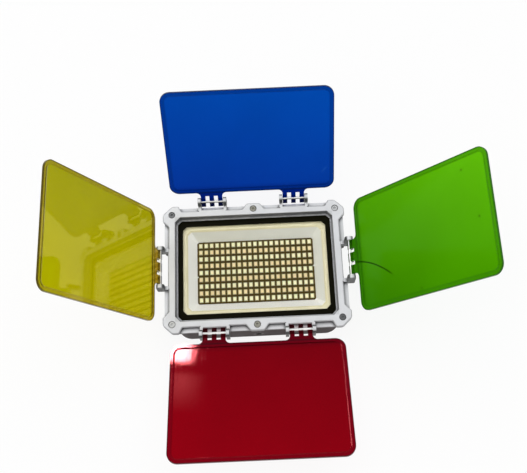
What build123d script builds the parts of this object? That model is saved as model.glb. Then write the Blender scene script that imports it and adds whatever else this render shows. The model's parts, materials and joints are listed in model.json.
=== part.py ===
from build123d import *
import os
from collections import namedtuple
from math import sqrt

os.makedirs("parts", exist_ok=True)

# A small LED panel light with four coloured filters that flip over its lit face.
# It lies on its back. Lengths are in millimetres and angles in degrees.
# The origin is the centre of the flat back. X runs along the long side, +Y points to
# the blue filter, and +Z leaves the lit face.

# Common to all pieces
overrun = 1.0
shank_clearance = 0.15
thread_clearance = 0.02

# Battery: round lithium cells in a tray, joined by nickel strips
cell_radius = 9.15
cell_length = 65.0
cell_pitch = 18.6
cell_count = 3
cell_nub_radius = 2.8
cell_nub_height = 0.8
cell_edge_round = 0.8
strip_thickness = 0.3
strip_half_height = 6.5
strip_overhang = 4.0
holder_wall = 1.2
holder_end_gap = 0.4
holder_height = 12.0
holder_bed = 0.7

# Driver board and what stands on it
driver_width = 18.4
driver_end_gap = 5.0
driver_edge_gap = 0.4
driver_holder_gap = 0.8
driver_board_thickness = 1.6
driver_back_gap = 6.0
driver_screw_end_inset = 3.5
driver_screw_edge_inset = 3.0
driver_screw_radius = 1.0
driver_screw_head_radius = 1.9
driver_screw_head_height = 1.2
driver_screw_bite = 6.0
driver_post_radius = 2.6
coil_end_inset = 11.0
coil_off_middle = 2.0
coil_radius = 4.5
coil_height = 6.0
coil_hole_radius = 1.6
capacitor_end_inset = 12.0
capacitor_off_middle = 4.4
capacitor_pitch = 6.2
capacitor_radius = 2.5
capacitor_height = 8.0
capacitor_count = 2
chip_off_middle = 4.0
chip_size = 5.0
chip_height = 1.2
chip_pitch = 9.0
chip_count = 3

# Charging port, its cover and the charge light
port_x = -15.0
port_width = 8.94
port_height = 3.26
port_depth = 9.0
port_shell = 0.35
port_tongue_height = 0.7
port_tongue_width = 6.7
port_mouth_inset = 2.8
port_fit = 0.33
port_cover_half_x = 7.75
port_cover_half_z = 3.65
port_cover_thickness = 1.3
port_cover_gap = 0.25
port_cover_floor_gap = 0.1
port_cover_corner = 2.0
port_plug_depth = 1.2
port_plug_clearance = 0.4
port_grip_width = 1.4
port_grip_rise = 0.8
charge_lens_radius = 1.5
charge_light_size = 2.0

# Power button and its switch
button_x = 15.0
button_radius = 4.5
button_clearance = 0.1
button_rise = 1.4
button_round = 0.8
button_flange_radius = 5.4
button_flange_thickness = 1.0
button_flange_gap = 0.2
button_stem_radius = 2.0
button_stem_length = 0.7
button_travel = 0.7
button_rest_gap = 0.2
switch_half_width = 3.0
switch_depth = 3.5
switch_height = 4.0
switch_plunger_radius = 1.5
switch_plunger_length = 1.2
board_notch_gap = 0.6

# Leads
lead_radius = 0.7
lead_bend = 1.6
led_lead_x = 4.0
led_lead_out = 2.0
led_lead_in = 2.2
lead_hole_clearance = 0.6
battery_lead_out = 2.6
battery_lead_y = 10.0
battery_lead_rise = 3.0
battery_lead_past = 7.6

# Tripod socket in the lower long wall
tripod_bore_radius = 2.55
tripod_insert_radius = 4.2
tripod_insert_length = 8.0
tripod_boss_radius = 6.8
tripod_back_gap = 1.2
tripod_holder_gap = 1.0

# Battery bay in the back of the housing, and its cover
bay_wall_y = 5.5
bay_end_room = 10.5
bay_corner = 3.2
cover_ledge_x = 7.0
cover_ledge_y = 3.5
cover_corner = 4.0
cover_thickness = 3.0
cover_fit = 0.2
cover_chamfer = 0.6
cover_screw_inset = 3.6
cover_screw_radius = 1.25
cover_screw_head_radius = 2.3
cover_screw_head_height = 1.5
cover_screw_length = 9.0
cover_counterbore_radius = 2.6
cover_counterbore_depth = 1.7
cover_seal_inset = 1.0
cover_seal_width = 1.0
cover_seal_height = 1.0
cell_cover_gap = 0.3

# Housing round the bay, with cooling fins at both short ends
tub_corner = 12.0
tub_back_chamfer = 1.5
floor_thickness = 3.0
fin_length = 11.3
fin_wall = 2.5
fin_roof = 2.3
fin_slot_width = 2.8
fin_slot_pitch = 6.0
fin_slot_count = 11
housing_flange_thickness = 3.0
housing_flange_inset = 0.4
screw_boss_radius = 3.4
screw_boss_length = 11.0
gusset_drop = 10.0

# Bezel flange, the lower step that shows in the recesses
flange_overhang_x = 5.0
flange_overhang_y = 2.5
flange_cut = 6.5
flange_side_notch = 3.0

# Bezel plate, outline as seen from the front
bezel_thickness = 4.0
bezel_step = 1.0
bezel_edge_chamfer = 0.7
corner_slope_x = 7.0
corner_slope_y = 6.5
corner_round = 4.0
recess_depth = 4.5
long_recess_screw_gap = 7.5
short_recess_screw_gap = 9.5
lobe_slope = 2.5
lobe_rise = 4.5
lobe_round = 1.5
recess_round = 1.0
middle_boss_half = 5.0
middle_boss_slope = 3.5
middle_boss_round = 2.5
hinge_pad_rise = 1.0
short_pad_rise = 0.5

# Bezel window and lip
rail_x = 9.5
rail_y = 9.2
window_cut = 3.8
window_depth = 5.4
window_chamfer = 0.4
lip_width = 1.5
lip_thickness = 1.0

# Bezel screws
screw_inset = 7.0
middle_screw_inset = 4.5
screw_radius = 1.5
screw_head_radius = 2.4
screw_head_height = 1.9
screw_length = 12.0
screw_socket_across = 2.0
screw_socket_depth = 1.2
counterbore_radius = 2.6
counterbore_depth = 2.1

# Seal and glass
glass_inset = 2.6
glass_cut = 3.4
glass_thickness = 2.4
seal_lip = 0.8
seal_side = 2.2
seal_band_x = 5.3
seal_band_y = 5.85
view_cut = 3.0

# LED board
led_columns = 21
led_rows = 9
led_pitch_x = 4.25
led_pitch_y = 5.4
led_size_x = 2.8
led_size_y = 3.5
led_height = 0.7
led_rim = 0.3
led_pocket_depth = 0.12
board_margin_x = 2.8
board_margin_y = 3.1
board_hidden_x = 5.7
board_hidden_y = 6.9
board_corner = 3.0
board_thickness = 1.6
board_depth = 18.6
pad_thickness = 0.5
pad_margin = 1.2
board_screw_inset = 2.6
board_screw_radius = 1.25
board_screw_head_radius = 2.2
board_screw_head_height = 1.4
board_screw_bite = 2.5

# Reflector
reflector_rim_thickness = 1.2
reflector_rim_width = 2.5
reflector_wall = 1.0
reflector_rim_fit = 0.3
board_view_cut = 1.2
ledge_width_x = 0.8
ledge_width_y = 1.6
reflector_tooth = 1.0
left_tooth_y = -3.3
right_tooth_y = 2.2

# Hinges: how far each bar stands outside the bezel, and how high over its front.
# The heights step up so that the four filters fold over one another.
filter_pitch = 2.0
lowest_bar_rise = 2.4
long_bar_overhang = 2.0
short_bar_overhang = 1.2
bar_radius = 1.1
bar_clearance = 0.08
long_hinge_width = 22.0
long_ear_thickness = 2.4
short_hinge_width = 32.0
short_ear_thickness = 2.8
ear_radius = 3.0

# Filters
filter_thickness = 1.6
filter_corner = 7.5
filter_band = 3.0
filter_field_recess = 0.25
tab_reach = 8.4
tab_side_clearance = 0.3
tab_fillet = 3.4
clip_wall = 1.35
long_finger_reach = 4.2
short_finger_reach = 1.7
short_finger_rise = 0.45
slot_width = 3.0
slot_length = 5.4
blue_rest_angle = 51.8
red_rest_angle = 16.6
yellow_rest_angle = 65.5
green_rest_angle = 52.7

# Plan sizes, worked out from the battery outwards to the bezel
cells_width = 2 * cell_radius + (cell_count - 1) * cell_pitch
holder_low_room = tripod_insert_length - bay_wall_y + tripod_holder_gap
holder_width = cells_width + 2 * holder_wall
driver_room = driver_holder_gap + driver_width + driver_edge_gap
bay_half_y = (holder_low_room + holder_width + driver_room) / 2
bay_half_x = cell_length / 2 + bay_end_room
cover_half_x = bay_half_x + cover_ledge_x
cover_half_y = bay_half_y + cover_ledge_y
fin_start_x = cover_half_x + cover_fit + fin_wall
tub_half_x = fin_start_x + fin_length
tub_half_y = bay_half_y + bay_wall_y
flange_half_x = tub_half_x + flange_overhang_x
flange_half_y = tub_half_y + flange_overhang_y
bezel_half_x = flange_half_x + bezel_step
bezel_half_y = flange_half_y + bezel_step
window_half_x = bezel_half_x - rail_x
window_half_y = bezel_half_y - rail_y
screw_x = bezel_half_x - screw_inset
screw_y = bezel_half_y - screw_inset
middle_screw_y = bezel_half_y - middle_screw_inset
glass_half_x = window_half_x - glass_inset
glass_half_y = window_half_y - glass_inset
view_half_x = window_half_x - seal_band_x
view_half_y = window_half_y - seal_band_y
board_view_half_x = (led_columns - 1) / 2 * led_pitch_x + board_margin_x
board_view_half_y = (led_rows - 1) / 2 * led_pitch_y + board_margin_y
board_half_x = board_view_half_x + board_hidden_x
board_half_y = board_view_half_y + board_hidden_y
long_bar_out = bezel_half_y + long_bar_overhang
short_bar_out = bezel_half_x + short_bar_overhang
long_hinge_place = screw_x / 2
filter_length = 2 * (short_bar_out - tab_reach)
filter_width = 2 * screw_y
first_cell_y = -bay_half_y + holder_low_room + holder_wall + cell_radius
driver_half_x = bay_half_x - driver_end_gap
driver_high_y = bay_half_y - driver_edge_gap
driver_low_y = driver_high_y - driver_width
driver_middle_y = (driver_low_y + driver_high_y) / 2

# Heights, worked out from the back to the front
cell_z = cover_thickness + cell_cover_gap + cell_radius
floor_back_z = cell_z + cell_radius + holder_bed
floor_front_z = floor_back_z + floor_thickness
board_back_z = floor_front_z + pad_thickness
board_front_z = board_back_z + board_thickness
front_z = board_front_z + board_depth
plate_back_z = front_z - bezel_thickness
lip_front_z = front_z - window_depth
bezel_back_z = lip_front_z - lip_thickness
flange_back_z = bezel_back_z - housing_flange_thickness
glass_front_z = bezel_back_z - seal_lip
glass_back_z = glass_front_z - glass_thickness
ledge_z = glass_back_z - reflector_rim_thickness
fin_slot_height = floor_back_z - fin_roof
tripod_z = cover_thickness + tripod_back_gap + tripod_boss_radius
driver_back_z = cover_thickness + driver_back_gap
driver_front_z = driver_back_z + driver_board_thickness
port_z = driver_front_z + port_height / 2

# Depths in the wall with the button and the port
port_cover_pocket_y = tub_half_y - port_cover_thickness - port_cover_floor_gap
port_mouth_y = tub_half_y - port_mouth_inset
button_back_y = bay_half_y - button_flange_gap - button_flange_thickness - button_stem_length
switch_front_y = button_back_y - button_travel - button_rest_gap - switch_plunger_length
clip_bore_radius = bar_radius + bar_clearance
clip_radius = clip_bore_radius + clip_wall
lit_face = filter_thickness / 2

# One side's hinge: turn about Z from +Y, bar distance, bar height step, hinge places along
# the bar, hinge width, ear thickness, filter size along the bar and away from it, rest angle,
# and how far the fingers of its clips reach past the bar's axis and how high they stand there.
Hinge = namedtuple("Hinge", "turn out step places width ear along reach rest finger rise")
long_places = (-long_hinge_place, long_hinge_place)
hinges = {
    "blue": Hinge(0, long_bar_out, 0, long_places, long_hinge_width, long_ear_thickness,
                  filter_length, filter_width, blue_rest_angle, long_finger_reach, lit_face),
    "yellow": Hinge(90, short_bar_out, 1, (0,), short_hinge_width, short_ear_thickness,
                    filter_width, filter_length, yellow_rest_angle, short_finger_reach,
                    short_finger_rise),
    "red": Hinge(180, long_bar_out, 2, long_places, long_hinge_width, long_ear_thickness,
                 filter_length, filter_width, red_rest_angle, long_finger_reach, lit_face),
    "green": Hinge(270, short_bar_out, 3, (0,), short_hinge_width, short_ear_thickness,
                   filter_width, filter_length, green_rest_angle, short_finger_reach,
                   short_finger_rise),
}


def block(low_x, high_x, low_y, high_y, low_z, high_z):
    """A plain block between two corners."""
    middle = Pos((low_x + high_x) / 2, (low_y + high_y) / 2, (low_z + high_z) / 2)
    return middle * Box(high_x - low_x, high_y - low_y, high_z - low_z)


def soft_slab(half_x, half_y, radius, low_z, high_z):
    """A slab with rounded corners, centred on the Z axis."""
    outline = RectangleRounded(2 * half_x, 2 * half_y, radius)
    return Pos(0, 0, low_z) * extrude(outline, amount=high_z - low_z)


def cut_outline(half_x, half_y, cut):
    """A rectangle with its four corners cut off at 45 degrees."""
    return chamfer(Rectangle(2 * half_x, 2 * half_y).vertices(), cut)


def cut_slab(half_x, half_y, cut, low_z, high_z):
    """A slab with its four corners cut off, centred on the Z axis."""
    return Pos(0, 0, low_z) * extrude(cut_outline(half_x, half_y, cut), amount=high_z - low_z)


def cut_for(cut, growth):
    """The corner cut of an outline that is offset outwards by the growth."""
    return cut + growth * (2 - sqrt(2))


def rod_z(x, y, radius, low_z, high_z):
    """A round bar along Z."""
    return Pos(x, y, (low_z + high_z) / 2) * Cylinder(radius, high_z - low_z)


def rod_y(x, z, radius, low_y, high_y):
    """A round bar along Y."""
    turn = Rot(90, 0, 0)
    return Pos(x, (low_y + high_y) / 2, z) * turn * Cylinder(radius, high_y - low_y)


def rod_x(y, z, radius, low_x, high_x):
    """A round bar along X."""
    turn = Rot(0, 90, 0)
    return Pos((low_x + high_x) / 2, y, z) * turn * Cylinder(radius, high_x - low_x)


def four_places(x, y):
    """The four mirrored places of one corner point."""
    return [(x, y), (-x, y), (x, -y), (-x, -y)]


def bezel_screw_places():
    """The four corner screws and the two in the middle of the long sides."""
    return four_places(screw_x, screw_y) + [(0, middle_screw_y), (0, -middle_screw_y)]


def board_screw_places():
    """The four corners of the LED board."""
    return four_places(board_half_x - board_screw_inset, board_half_y - board_screw_inset)


def cover_screw_places():
    """The four corners of the back cover."""
    return four_places(cover_half_x - cover_screw_inset, cover_half_y - cover_screw_inset)


def mirrored_loop(quarter):
    """The whole outline from the corners of its first quarter, each (x, y, radius)."""
    back = list(reversed(quarter))
    first = [(x, y, r) for x, y, r in quarter]
    fourth = [(x, -y, r) for x, y, r in back]
    third = [(-x, -y, r) for x, y, r in quarter]
    second = [(-x, y, r) for x, y, r in back]
    return first + fourth + third + second


def loop_slab(quarter, low_z, high_z):
    """A slab of a mirrored outline."""
    loop = mirrored_loop(quarter)
    line = FilletPolyline(*[(x, y) for x, y, r in loop], radius=[r for x, y, r in loop], close=True)
    return Pos(0, 0, low_z) * extrude(make_face(line), amount=high_z - low_z)


def bar_z(hinge):
    """The height of a hinge bar."""
    return front_z + lowest_bar_rise + hinge.step * filter_pitch


def side(hinge):
    """Turns a piece made on the +Y side to the side of its hinge."""
    return Rot(0, 0, hinge.turn)


def ear_centres(hinge):
    """Where the ears stand along the bar."""
    reach = (hinge.width - hinge.ear) / 2
    return [place + way * reach for place in hinge.places for way in (-1, 1)]


def ear(hinge, root_y):
    """The cast ears of one side, made on the +Y side, with their webs to the plate."""
    low = bezel_back_z
    top = bar_z(hinge)
    near = hinge.out - ear_radius
    far = hinge.out + ear_radius
    post = Pos((near + far) / 2, (low + top) / 2) * Rectangle(far - near, top - low)
    web = Pos((root_y + hinge.out) / 2, (low + front_z) / 2) * Rectangle(
        hinge.out - root_y, front_z - low)
    profile = post + web + Pos(hinge.out, top) * Circle(ear_radius)
    outer_low = profile.vertices().sort_by_distance((far, low))[0]
    profile = fillet(outer_low, ear_radius / 2)
    solid = extrude(Plane.YZ * profile, amount=hinge.ear / 2, both=True)
    return [Pos(x, 0, 0) * solid for x in ear_centres(hinge)]


def hinge_bars(hinge):
    """The steel bars of one side, pressed into the ears."""
    half = hinge.width / 2
    z = bar_z(hinge)
    bars = [rod_x(hinge.out, z, bar_radius, place - half, place + half) for place in hinge.places]
    return [side(hinge) * bar for bar in bars]


def bezel_outline():
    """One quarter of the bezel: middle boss, hinge pad, recess, corner lobe, short side."""
    long_edge = bezel_half_y - recess_depth
    short_edge = bezel_half_x - recess_depth
    pad_low = long_hinge_place - long_hinge_width / 2
    pad_high = long_hinge_place + long_hinge_width / 2
    pad_edge = long_edge + hinge_pad_rise
    short_pad = short_hinge_width / 2
    long_end = screw_x - long_recess_screw_gap
    short_end = screw_y - short_recess_screw_gap
    return [
        (middle_boss_half, bezel_half_y, middle_boss_round),
        (middle_boss_half + middle_boss_slope, long_edge, recess_round),
        (pad_low, long_edge, 0),
        (pad_low, pad_edge, 0),
        (pad_high, pad_edge, 0),
        (pad_high, long_edge, 0),
        (long_end, long_edge, recess_round),
        (long_end + lobe_slope, bezel_half_y, lobe_round),
        (bezel_half_x - corner_slope_x, bezel_half_y, corner_round),
        (bezel_half_x, bezel_half_y - corner_slope_y, corner_round),
        (bezel_half_x, short_end + lobe_rise, lobe_round),
        (short_edge, short_end, recess_round),
        (short_edge, short_pad, 0),
        (short_edge + short_pad_rise, short_pad, 0),
    ]


def notched_flange(inset, low_z, high_z):
    """The joint face of bezel and housing, notched between the ears of the short sides."""
    flange = cut_slab(flange_half_x - inset, flange_half_y - inset, cut_for(flange_cut, -inset),
                      low_z, high_z)
    reach = short_hinge_width / 2 - short_ear_thickness
    for edge in (-flange_half_x, flange_half_x):
        flange -= block(edge - flange_side_notch, edge + flange_side_notch, -reach, reach,
                        low_z - overrun, high_z + overrun)
    return flange


def bezel_frame():
    """The cast front frame: plate, lower flange, window, lip, screw holes and hinge ears."""
    plate = loop_slab(bezel_outline(), plate_back_z, front_z)
    rim = plate.faces().sort_by(Axis.Z)[-1].outer_wire().edges()
    plate = chamfer(rim, bezel_edge_chamfer)
    window = cut_slab(window_half_x, window_half_y, window_cut, lip_front_z, front_z + overrun)
    lip_opening = cut_slab(window_half_x - lip_width, window_half_y - lip_width,
                           cut_for(window_cut, -lip_width), bezel_back_z - overrun, front_z)
    frame = plate + notched_flange(0, bezel_back_z, plate_back_z) - window - lip_opening
    mouth = frame.faces().sort_by(Axis.Z)[-1].inner_wires()[0].edges()
    frame = chamfer(mouth, window_chamfer)
    for hinge in hinges.values():
        root_y = bezel_half_y - recess_depth
        if hinge.turn in (90, 270):
            root_y = bezel_half_x - recess_depth
        for piece in ear(hinge, root_y):
            frame += side(hinge) * piece
        for bar in hinge_bars(hinge):
            frame -= bar
    for x, y in bezel_screw_places():
        frame -= rod_z(x, y, screw_radius + shank_clearance, bezel_back_z - overrun, front_z)
        frame -= rod_z(x, y, counterbore_radius, front_z - counterbore_depth, front_z + overrun)
    return frame


def socket_screw(radius, head_radius, head_height, length, socket_across, socket_depth):
    """A round-headed screw along -Z with its head's underside at the origin."""
    head = fillet(Cylinder(head_radius, head_height).edges().sort_by(Axis.Z)[-1], head_height / 4)
    head = Pos(0, 0, head_height / 2) * head
    shank = Pos(0, 0, -length / 2) * Cylinder(radius, length)
    hexagon = RegularPolygon(socket_across / 2, 6, major_radius=False)
    socket = Pos(0, 0, head_height - socket_depth) * extrude(hexagon, amount=socket_depth + overrun)
    return head + shank - socket


def bezel_screws():
    """Six screws in the counterbores of the bezel."""
    screw = socket_screw(screw_radius, screw_head_radius, screw_head_height, screw_length,
                         screw_socket_across, screw_socket_depth)
    seat = front_z - counterbore_depth
    return [Pos(x, y, seat) * screw for x, y in bezel_screw_places()]


def gusset(hinge, wall_y, flange_y):
    """A rib of the housing under its flange at each ear, made on the +Y side."""
    points = [
        (wall_y - overrun, flange_back_z),
        (flange_y, flange_back_z),
        (wall_y, flange_back_z - gusset_drop),
        (wall_y - overrun, flange_back_z - gusset_drop),
    ]
    profile = make_face(Polyline(*points, close=True))
    solid = extrude(Plane.YZ * profile, amount=hinge.ear / 2, both=True)
    return [Pos(x, 0, 0) * solid for x in ear_centres(hinge)]


def fin_slots():
    """The slots between the cooling fins, along X, open at the back and at the short ends."""
    start = fin_start_x
    end = tub_half_x + overrun
    middle = (fin_slot_count - 1) / 2
    slots = []
    for number in range(fin_slot_count):
        y = (number - middle) * fin_slot_pitch
        for way in (-1, 1):
            slot = Pos(way * (start + end) / 2, y, (fin_slot_height - overrun) / 2) * Box(
                end - start, fin_slot_width, fin_slot_height + overrun)
            slots.append(slot)
    return slots


def rear_housing():
    """The cast tub: flange, screw bosses, fins, lamp cavity in front and battery bay behind."""
    tub = soft_slab(tub_half_x, tub_half_y, tub_corner, 0, flange_back_z)
    tub = chamfer(tub.faces().sort_by(Axis.Z)[0].edges(), tub_back_chamfer)
    body = tub + notched_flange(housing_flange_inset, flange_back_z, bezel_back_z)
    for hinge in hinges.values():
        wall_y, flange_y = tub_half_y, flange_half_y
        if hinge.turn in (90, 270):
            wall_y, flange_y = tub_half_x, flange_half_x
        for piece in gusset(hinge, wall_y, flange_y - housing_flange_inset):
            body += side(hinge) * piece
    for x, y in bezel_screw_places():
        body += rod_z(x, y, screw_boss_radius, bezel_back_z - screw_boss_length, bezel_back_z)
    body += rod_y(0, tripod_z, tripod_boss_radius, -tub_half_y + overrun,
                  -tub_half_y + tripod_insert_length)

    cavity = cut_slab(view_half_x + ledge_width_x, view_half_y + ledge_width_y,
                      view_cut, floor_front_z, front_z)
    seal_room = cut_slab(glass_half_x + seal_side, glass_half_y + seal_side,
                         cut_for(glass_cut, seal_side), ledge_z, front_z)
    rebate = soft_slab(cover_half_x + cover_fit, cover_half_y + cover_fit,
                       cover_corner + cover_fit, -overrun, cover_thickness)
    body = body - cavity - seal_room - rebate
    body -= battery_bay()
    body -= cover_seal_ring()
    for slot in fin_slots():
        body -= slot
    for x, y in driver_screw_places():
        body += rod_z(x, y, driver_post_radius, driver_front_z, floor_back_z)
    return body - housing_holes()


def battery_bay():
    """The space behind the floor, around the boss of the tripod socket."""
    bay = soft_slab(bay_half_x, bay_half_y, bay_corner, 0, floor_back_z)
    boss = rod_y(0, tripod_z, tripod_boss_radius, -tub_half_y, -tub_half_y + tripod_insert_length)
    return bay - boss


def housing_holes():
    """Every screw hole and wall opening of the housing."""
    holes = []
    screw_end = front_z - counterbore_depth - screw_length - overrun
    for x, y in bezel_screw_places():
        holes.append(rod_z(x, y, screw_radius + thread_clearance, screw_end, front_z))
    for x, y in board_screw_places():
        bottom = floor_front_z - board_screw_bite
        holes.append(rod_z(x, y, board_screw_radius + thread_clearance, bottom, front_z))
    for x, y in cover_screw_places():
        holes.append(rod_z(x, y, cover_screw_radius + thread_clearance, 0, cover_screw_length))
    for x, y in driver_screw_places():
        top = driver_front_z + driver_screw_bite
        holes.append(rod_z(x, y, driver_screw_radius + thread_clearance, 0, top))
    for way in (-1, 1):
        holes.append(rod_z(way * led_lead_x, led_lead_y(), lead_radius + lead_hole_clearance,
                           floor_back_z - overrun, floor_front_z + overrun))
    outside = tub_half_y + overrun
    holes.append(rod_y(button_x, port_z, button_radius + button_clearance, bay_half_y - overrun,
                       outside))
    holes.append(rod_y(0, port_z, charge_lens_radius, bay_half_y - overrun, outside))
    holes.append(wall_window(port_width / 2 + port_fit, port_height / 2 + port_fit,
                             port_height / 2, bay_half_y - overrun, outside))
    holes.append(wall_window(port_cover_half_x + port_cover_gap,
                             port_cover_half_z + port_cover_gap,
                             port_cover_corner + port_cover_gap, port_cover_pocket_y, outside))
    holes.append(rod_y(0, tripod_z, tripod_insert_radius, -outside,
                       -tub_half_y + tripod_insert_length + overrun))
    return holes


def wall_window(half_x, half_z, radius, low_y, high_y):
    """A rounded block in the wall at the charging port, between two depths."""
    outline = RectangleRounded(2 * half_x, 2 * half_z, radius)
    solid = extrude(outline, amount=high_y - low_y)
    return Pos(port_x, high_y, port_z) * Rot(90, 0, 0) * solid


def glass_seal():
    """The black silicone seal round the edge of the glass."""
    ring = cut_slab(glass_half_x + seal_side, glass_half_y + seal_side,
                    cut_for(glass_cut, seal_side), ledge_z, bezel_back_z)
    bed = cut_slab(glass_half_x, glass_half_y, glass_cut, ledge_z - overrun, glass_front_z)
    view = cut_slab(view_half_x, view_half_y, view_cut, ledge_z, front_z)
    return ring - bed - view


def front_glass():
    """The flat toughened glass."""
    return cut_slab(glass_half_x, glass_half_y, glass_cut, glass_back_z, glass_front_z)


def reflector_tray():
    """The white reflector: a flat rim, four sloping walls and an open foot on the board."""
    rim_half_x = glass_half_x - reflector_rim_fit
    rim_half_y = glass_half_y - reflector_rim_fit
    rim = cut_slab(rim_half_x, rim_half_y, glass_cut, ledge_z, glass_back_z)
    inside_x = view_half_x - reflector_rim_width
    inside_y = view_half_y - reflector_rim_width

    def funnel(growth):
        foot = Pos(0, 0, board_front_z) * cut_outline(
            board_view_half_x + growth, board_view_half_y + growth, board_view_cut)
        mouth = Pos(0, 0, glass_back_z) * cut_outline(
            inside_x + growth, inside_y + growth, view_cut)
        return loft([foot, mouth], ruled=True)

    tray = funnel(reflector_wall) + rim - funnel(0)
    return tray + tooth(-1, left_tooth_y) + tooth(1, right_tooth_y)


def tooth(way, y):
    """A small pointed tooth of the reflector's foot, over the edge of the board."""
    root = board_view_half_x + reflector_wall / 2
    tip = board_view_half_x - reflector_tooth
    points = [(way * root, y - reflector_tooth), (way * tip, y), (way * root, y + reflector_tooth)]
    face = make_face(Polyline(*points, close=True))
    return Pos(0, 0, board_front_z) * extrude(face, amount=reflector_wall)


def led_board():
    """The metal-cored board that carries the LEDs."""
    board = soft_slab(board_half_x, board_half_y, board_corner, board_back_z, board_front_z)
    for x, y in board_screw_places():
        board -= rod_z(x, y, board_screw_radius + shank_clearance, board_back_z, board_front_z)
    return board


def thermal_pad():
    """The soft heat pad between the board and the floor of the housing."""
    pad = soft_slab(board_half_x - pad_margin, board_half_y - pad_margin, board_corner,
                    floor_front_z, board_back_z)
    for x, y in board_screw_places():
        pad -= rod_z(x, y, board_screw_head_radius, floor_front_z, board_back_z)
    return pad


def leds(rows):
    """The LED packages of some rows, counted from the red side."""
    package = Box(led_size_x, led_size_y, led_height)
    package = Pos(0, 0, board_front_z + led_height / 2) * package
    pocket = Box(led_size_x - 2 * led_rim, led_size_y - 2 * led_rim, led_pocket_depth)
    package -= Pos(0, 0, board_front_z + led_height - led_pocket_depth / 2) * pocket
    middle_column = (led_columns - 1) / 2
    middle_row = (led_rows - 1) / 2
    places = [((column - middle_column) * led_pitch_x, (row - middle_row) * led_pitch_y)
              for row in rows for column in range(led_columns)]
    return [Pos(x, y, 0) * package for x, y in places]


def board_screws():
    """Four screws that hold the LED board on the housing floor."""
    length = board_thickness + pad_thickness + board_screw_bite
    screw = socket_screw(board_screw_radius, board_screw_head_radius, board_screw_head_height,
                         length, board_screw_radius, board_screw_head_height / 2)
    return [Pos(x, y, board_front_z) * screw for x, y in board_screw_places()]


def back_cover():
    """The screwed cover of the battery bay, flush with the back."""
    cover = soft_slab(cover_half_x, cover_half_y, cover_corner, 0, cover_thickness)
    cover = chamfer(cover.faces().sort_by(Axis.Z)[0].edges(), cover_chamfer)
    for x, y in cover_screw_places():
        cover -= rod_z(x, y, cover_screw_radius + shank_clearance, 0, cover_thickness)
        cover -= rod_z(x, y, cover_counterbore_radius, -overrun, cover_counterbore_depth)
    return cover


def cover_seal_ring():
    """The square seal in a groove of the housing, against the cover."""
    outer = cover_seal_inset + cover_seal_width
    top = cover_thickness + cover_seal_height
    ring = soft_slab(bay_half_x + outer, bay_half_y + outer, bay_corner + outer,
                     cover_thickness, top)
    hole = soft_slab(bay_half_x + cover_seal_inset, bay_half_y + cover_seal_inset,
                     bay_corner + cover_seal_inset, cover_thickness, top)
    return ring - hole


def cover_screws():
    """Four screws that hold the back cover."""
    length = cover_screw_length - cover_counterbore_depth - overrun
    screw = socket_screw(cover_screw_radius, cover_screw_head_radius, cover_screw_head_height,
                         length, cover_screw_head_radius, cover_screw_head_height / 2)
    seat = Pos(0, 0, cover_counterbore_depth) * Rot(180, 0, 0)
    return [Pos(x, y, 0) * seat * screw for x, y in cover_screw_places()]


def cell_places():
    """The heights along Y of the cells' axes."""
    return [first_cell_y + number * cell_pitch for number in range(cell_count)]


def battery_cells():
    """The round lithium cells, side by side along X."""
    can_end = cell_length / 2 - cell_nub_height
    can = rod_x(0, cell_z, cell_radius, -cell_length / 2, can_end)
    can = fillet(can.edges().filter_by(GeomType.CIRCLE), cell_edge_round)
    cell = can + rod_x(0, cell_z, cell_nub_radius, can_end, cell_length / 2)
    return [Pos(0, y, 0) * cell for y in cell_places()]


def cell_strips():
    """The two nickel strips that join the cells."""
    low_y = cell_places()[0] - strip_overhang
    high_y = cell_places()[-1] + strip_overhang
    near = cell_length / 2
    far = near + strip_thickness
    return [block(low_x, high_x, low_y, high_y, cell_z - strip_half_height,
                  cell_z + strip_half_height)
            for low_x, high_x in ((near, far), (-far, -near))]


def battery_holder():
    """The plastic tray that holds the cells against the housing floor."""
    inner_x = cell_length / 2 + strip_thickness + holder_end_gap
    low_y = cell_places()[0] - cell_radius
    high_y = cell_places()[-1] + cell_radius
    wall = holder_wall
    tray = block(-inner_x - wall, inner_x + wall, low_y - wall, high_y + wall,
                 floor_back_z - holder_height, floor_back_z)
    return tray - block(-inner_x, inner_x, low_y, high_y, floor_back_z - holder_height - overrun,
                        floor_back_z - holder_bed)


def driver_screw_places():
    """The four corners of the driver board."""
    low = driver_low_y + driver_screw_edge_inset
    high = driver_high_y - driver_screw_edge_inset
    end = driver_half_x - driver_screw_end_inset
    return [(x, y) for x in (-end, end) for y in (low, high)]


def driver_board():
    """The charging and driving board, notched round the power button."""
    board = block(-driver_half_x, driver_half_x, driver_low_y, driver_high_y, driver_back_z,
                  driver_front_z)
    notch_half = button_flange_radius + board_notch_gap
    board -= block(button_x - notch_half, button_x + notch_half, switch_front_y,
                   driver_high_y + overrun, driver_back_z - overrun, driver_front_z + overrun)
    for x, y in driver_screw_places():
        board -= rod_z(x, y, driver_screw_radius + shank_clearance, driver_back_z, driver_front_z)
    return board


def driver_screws():
    """Four small screws that hold the driver board on its posts."""
    length = driver_board_thickness + driver_screw_bite
    screw = socket_screw(driver_screw_radius, driver_screw_head_radius, driver_screw_head_height,
                         length, driver_screw_radius, driver_screw_head_height / 2)
    seat = Pos(0, 0, driver_back_z) * Rot(180, 0, 0)
    return [Pos(x, y, 0) * seat * screw for x, y in driver_screw_places()]


def driver_coil():
    """The wound coil of the converter."""
    x = -driver_half_x + coil_end_inset
    y = driver_middle_y - coil_off_middle
    top = driver_front_z + coil_height
    coil = rod_z(x, y, coil_radius, driver_front_z, top)
    coil = fillet(coil.edges().filter_by(GeomType.CIRCLE), coil_height / 5)
    return coil - rod_z(x, y, coil_hole_radius, driver_front_z + coil_height / 2, top + overrun)


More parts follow.
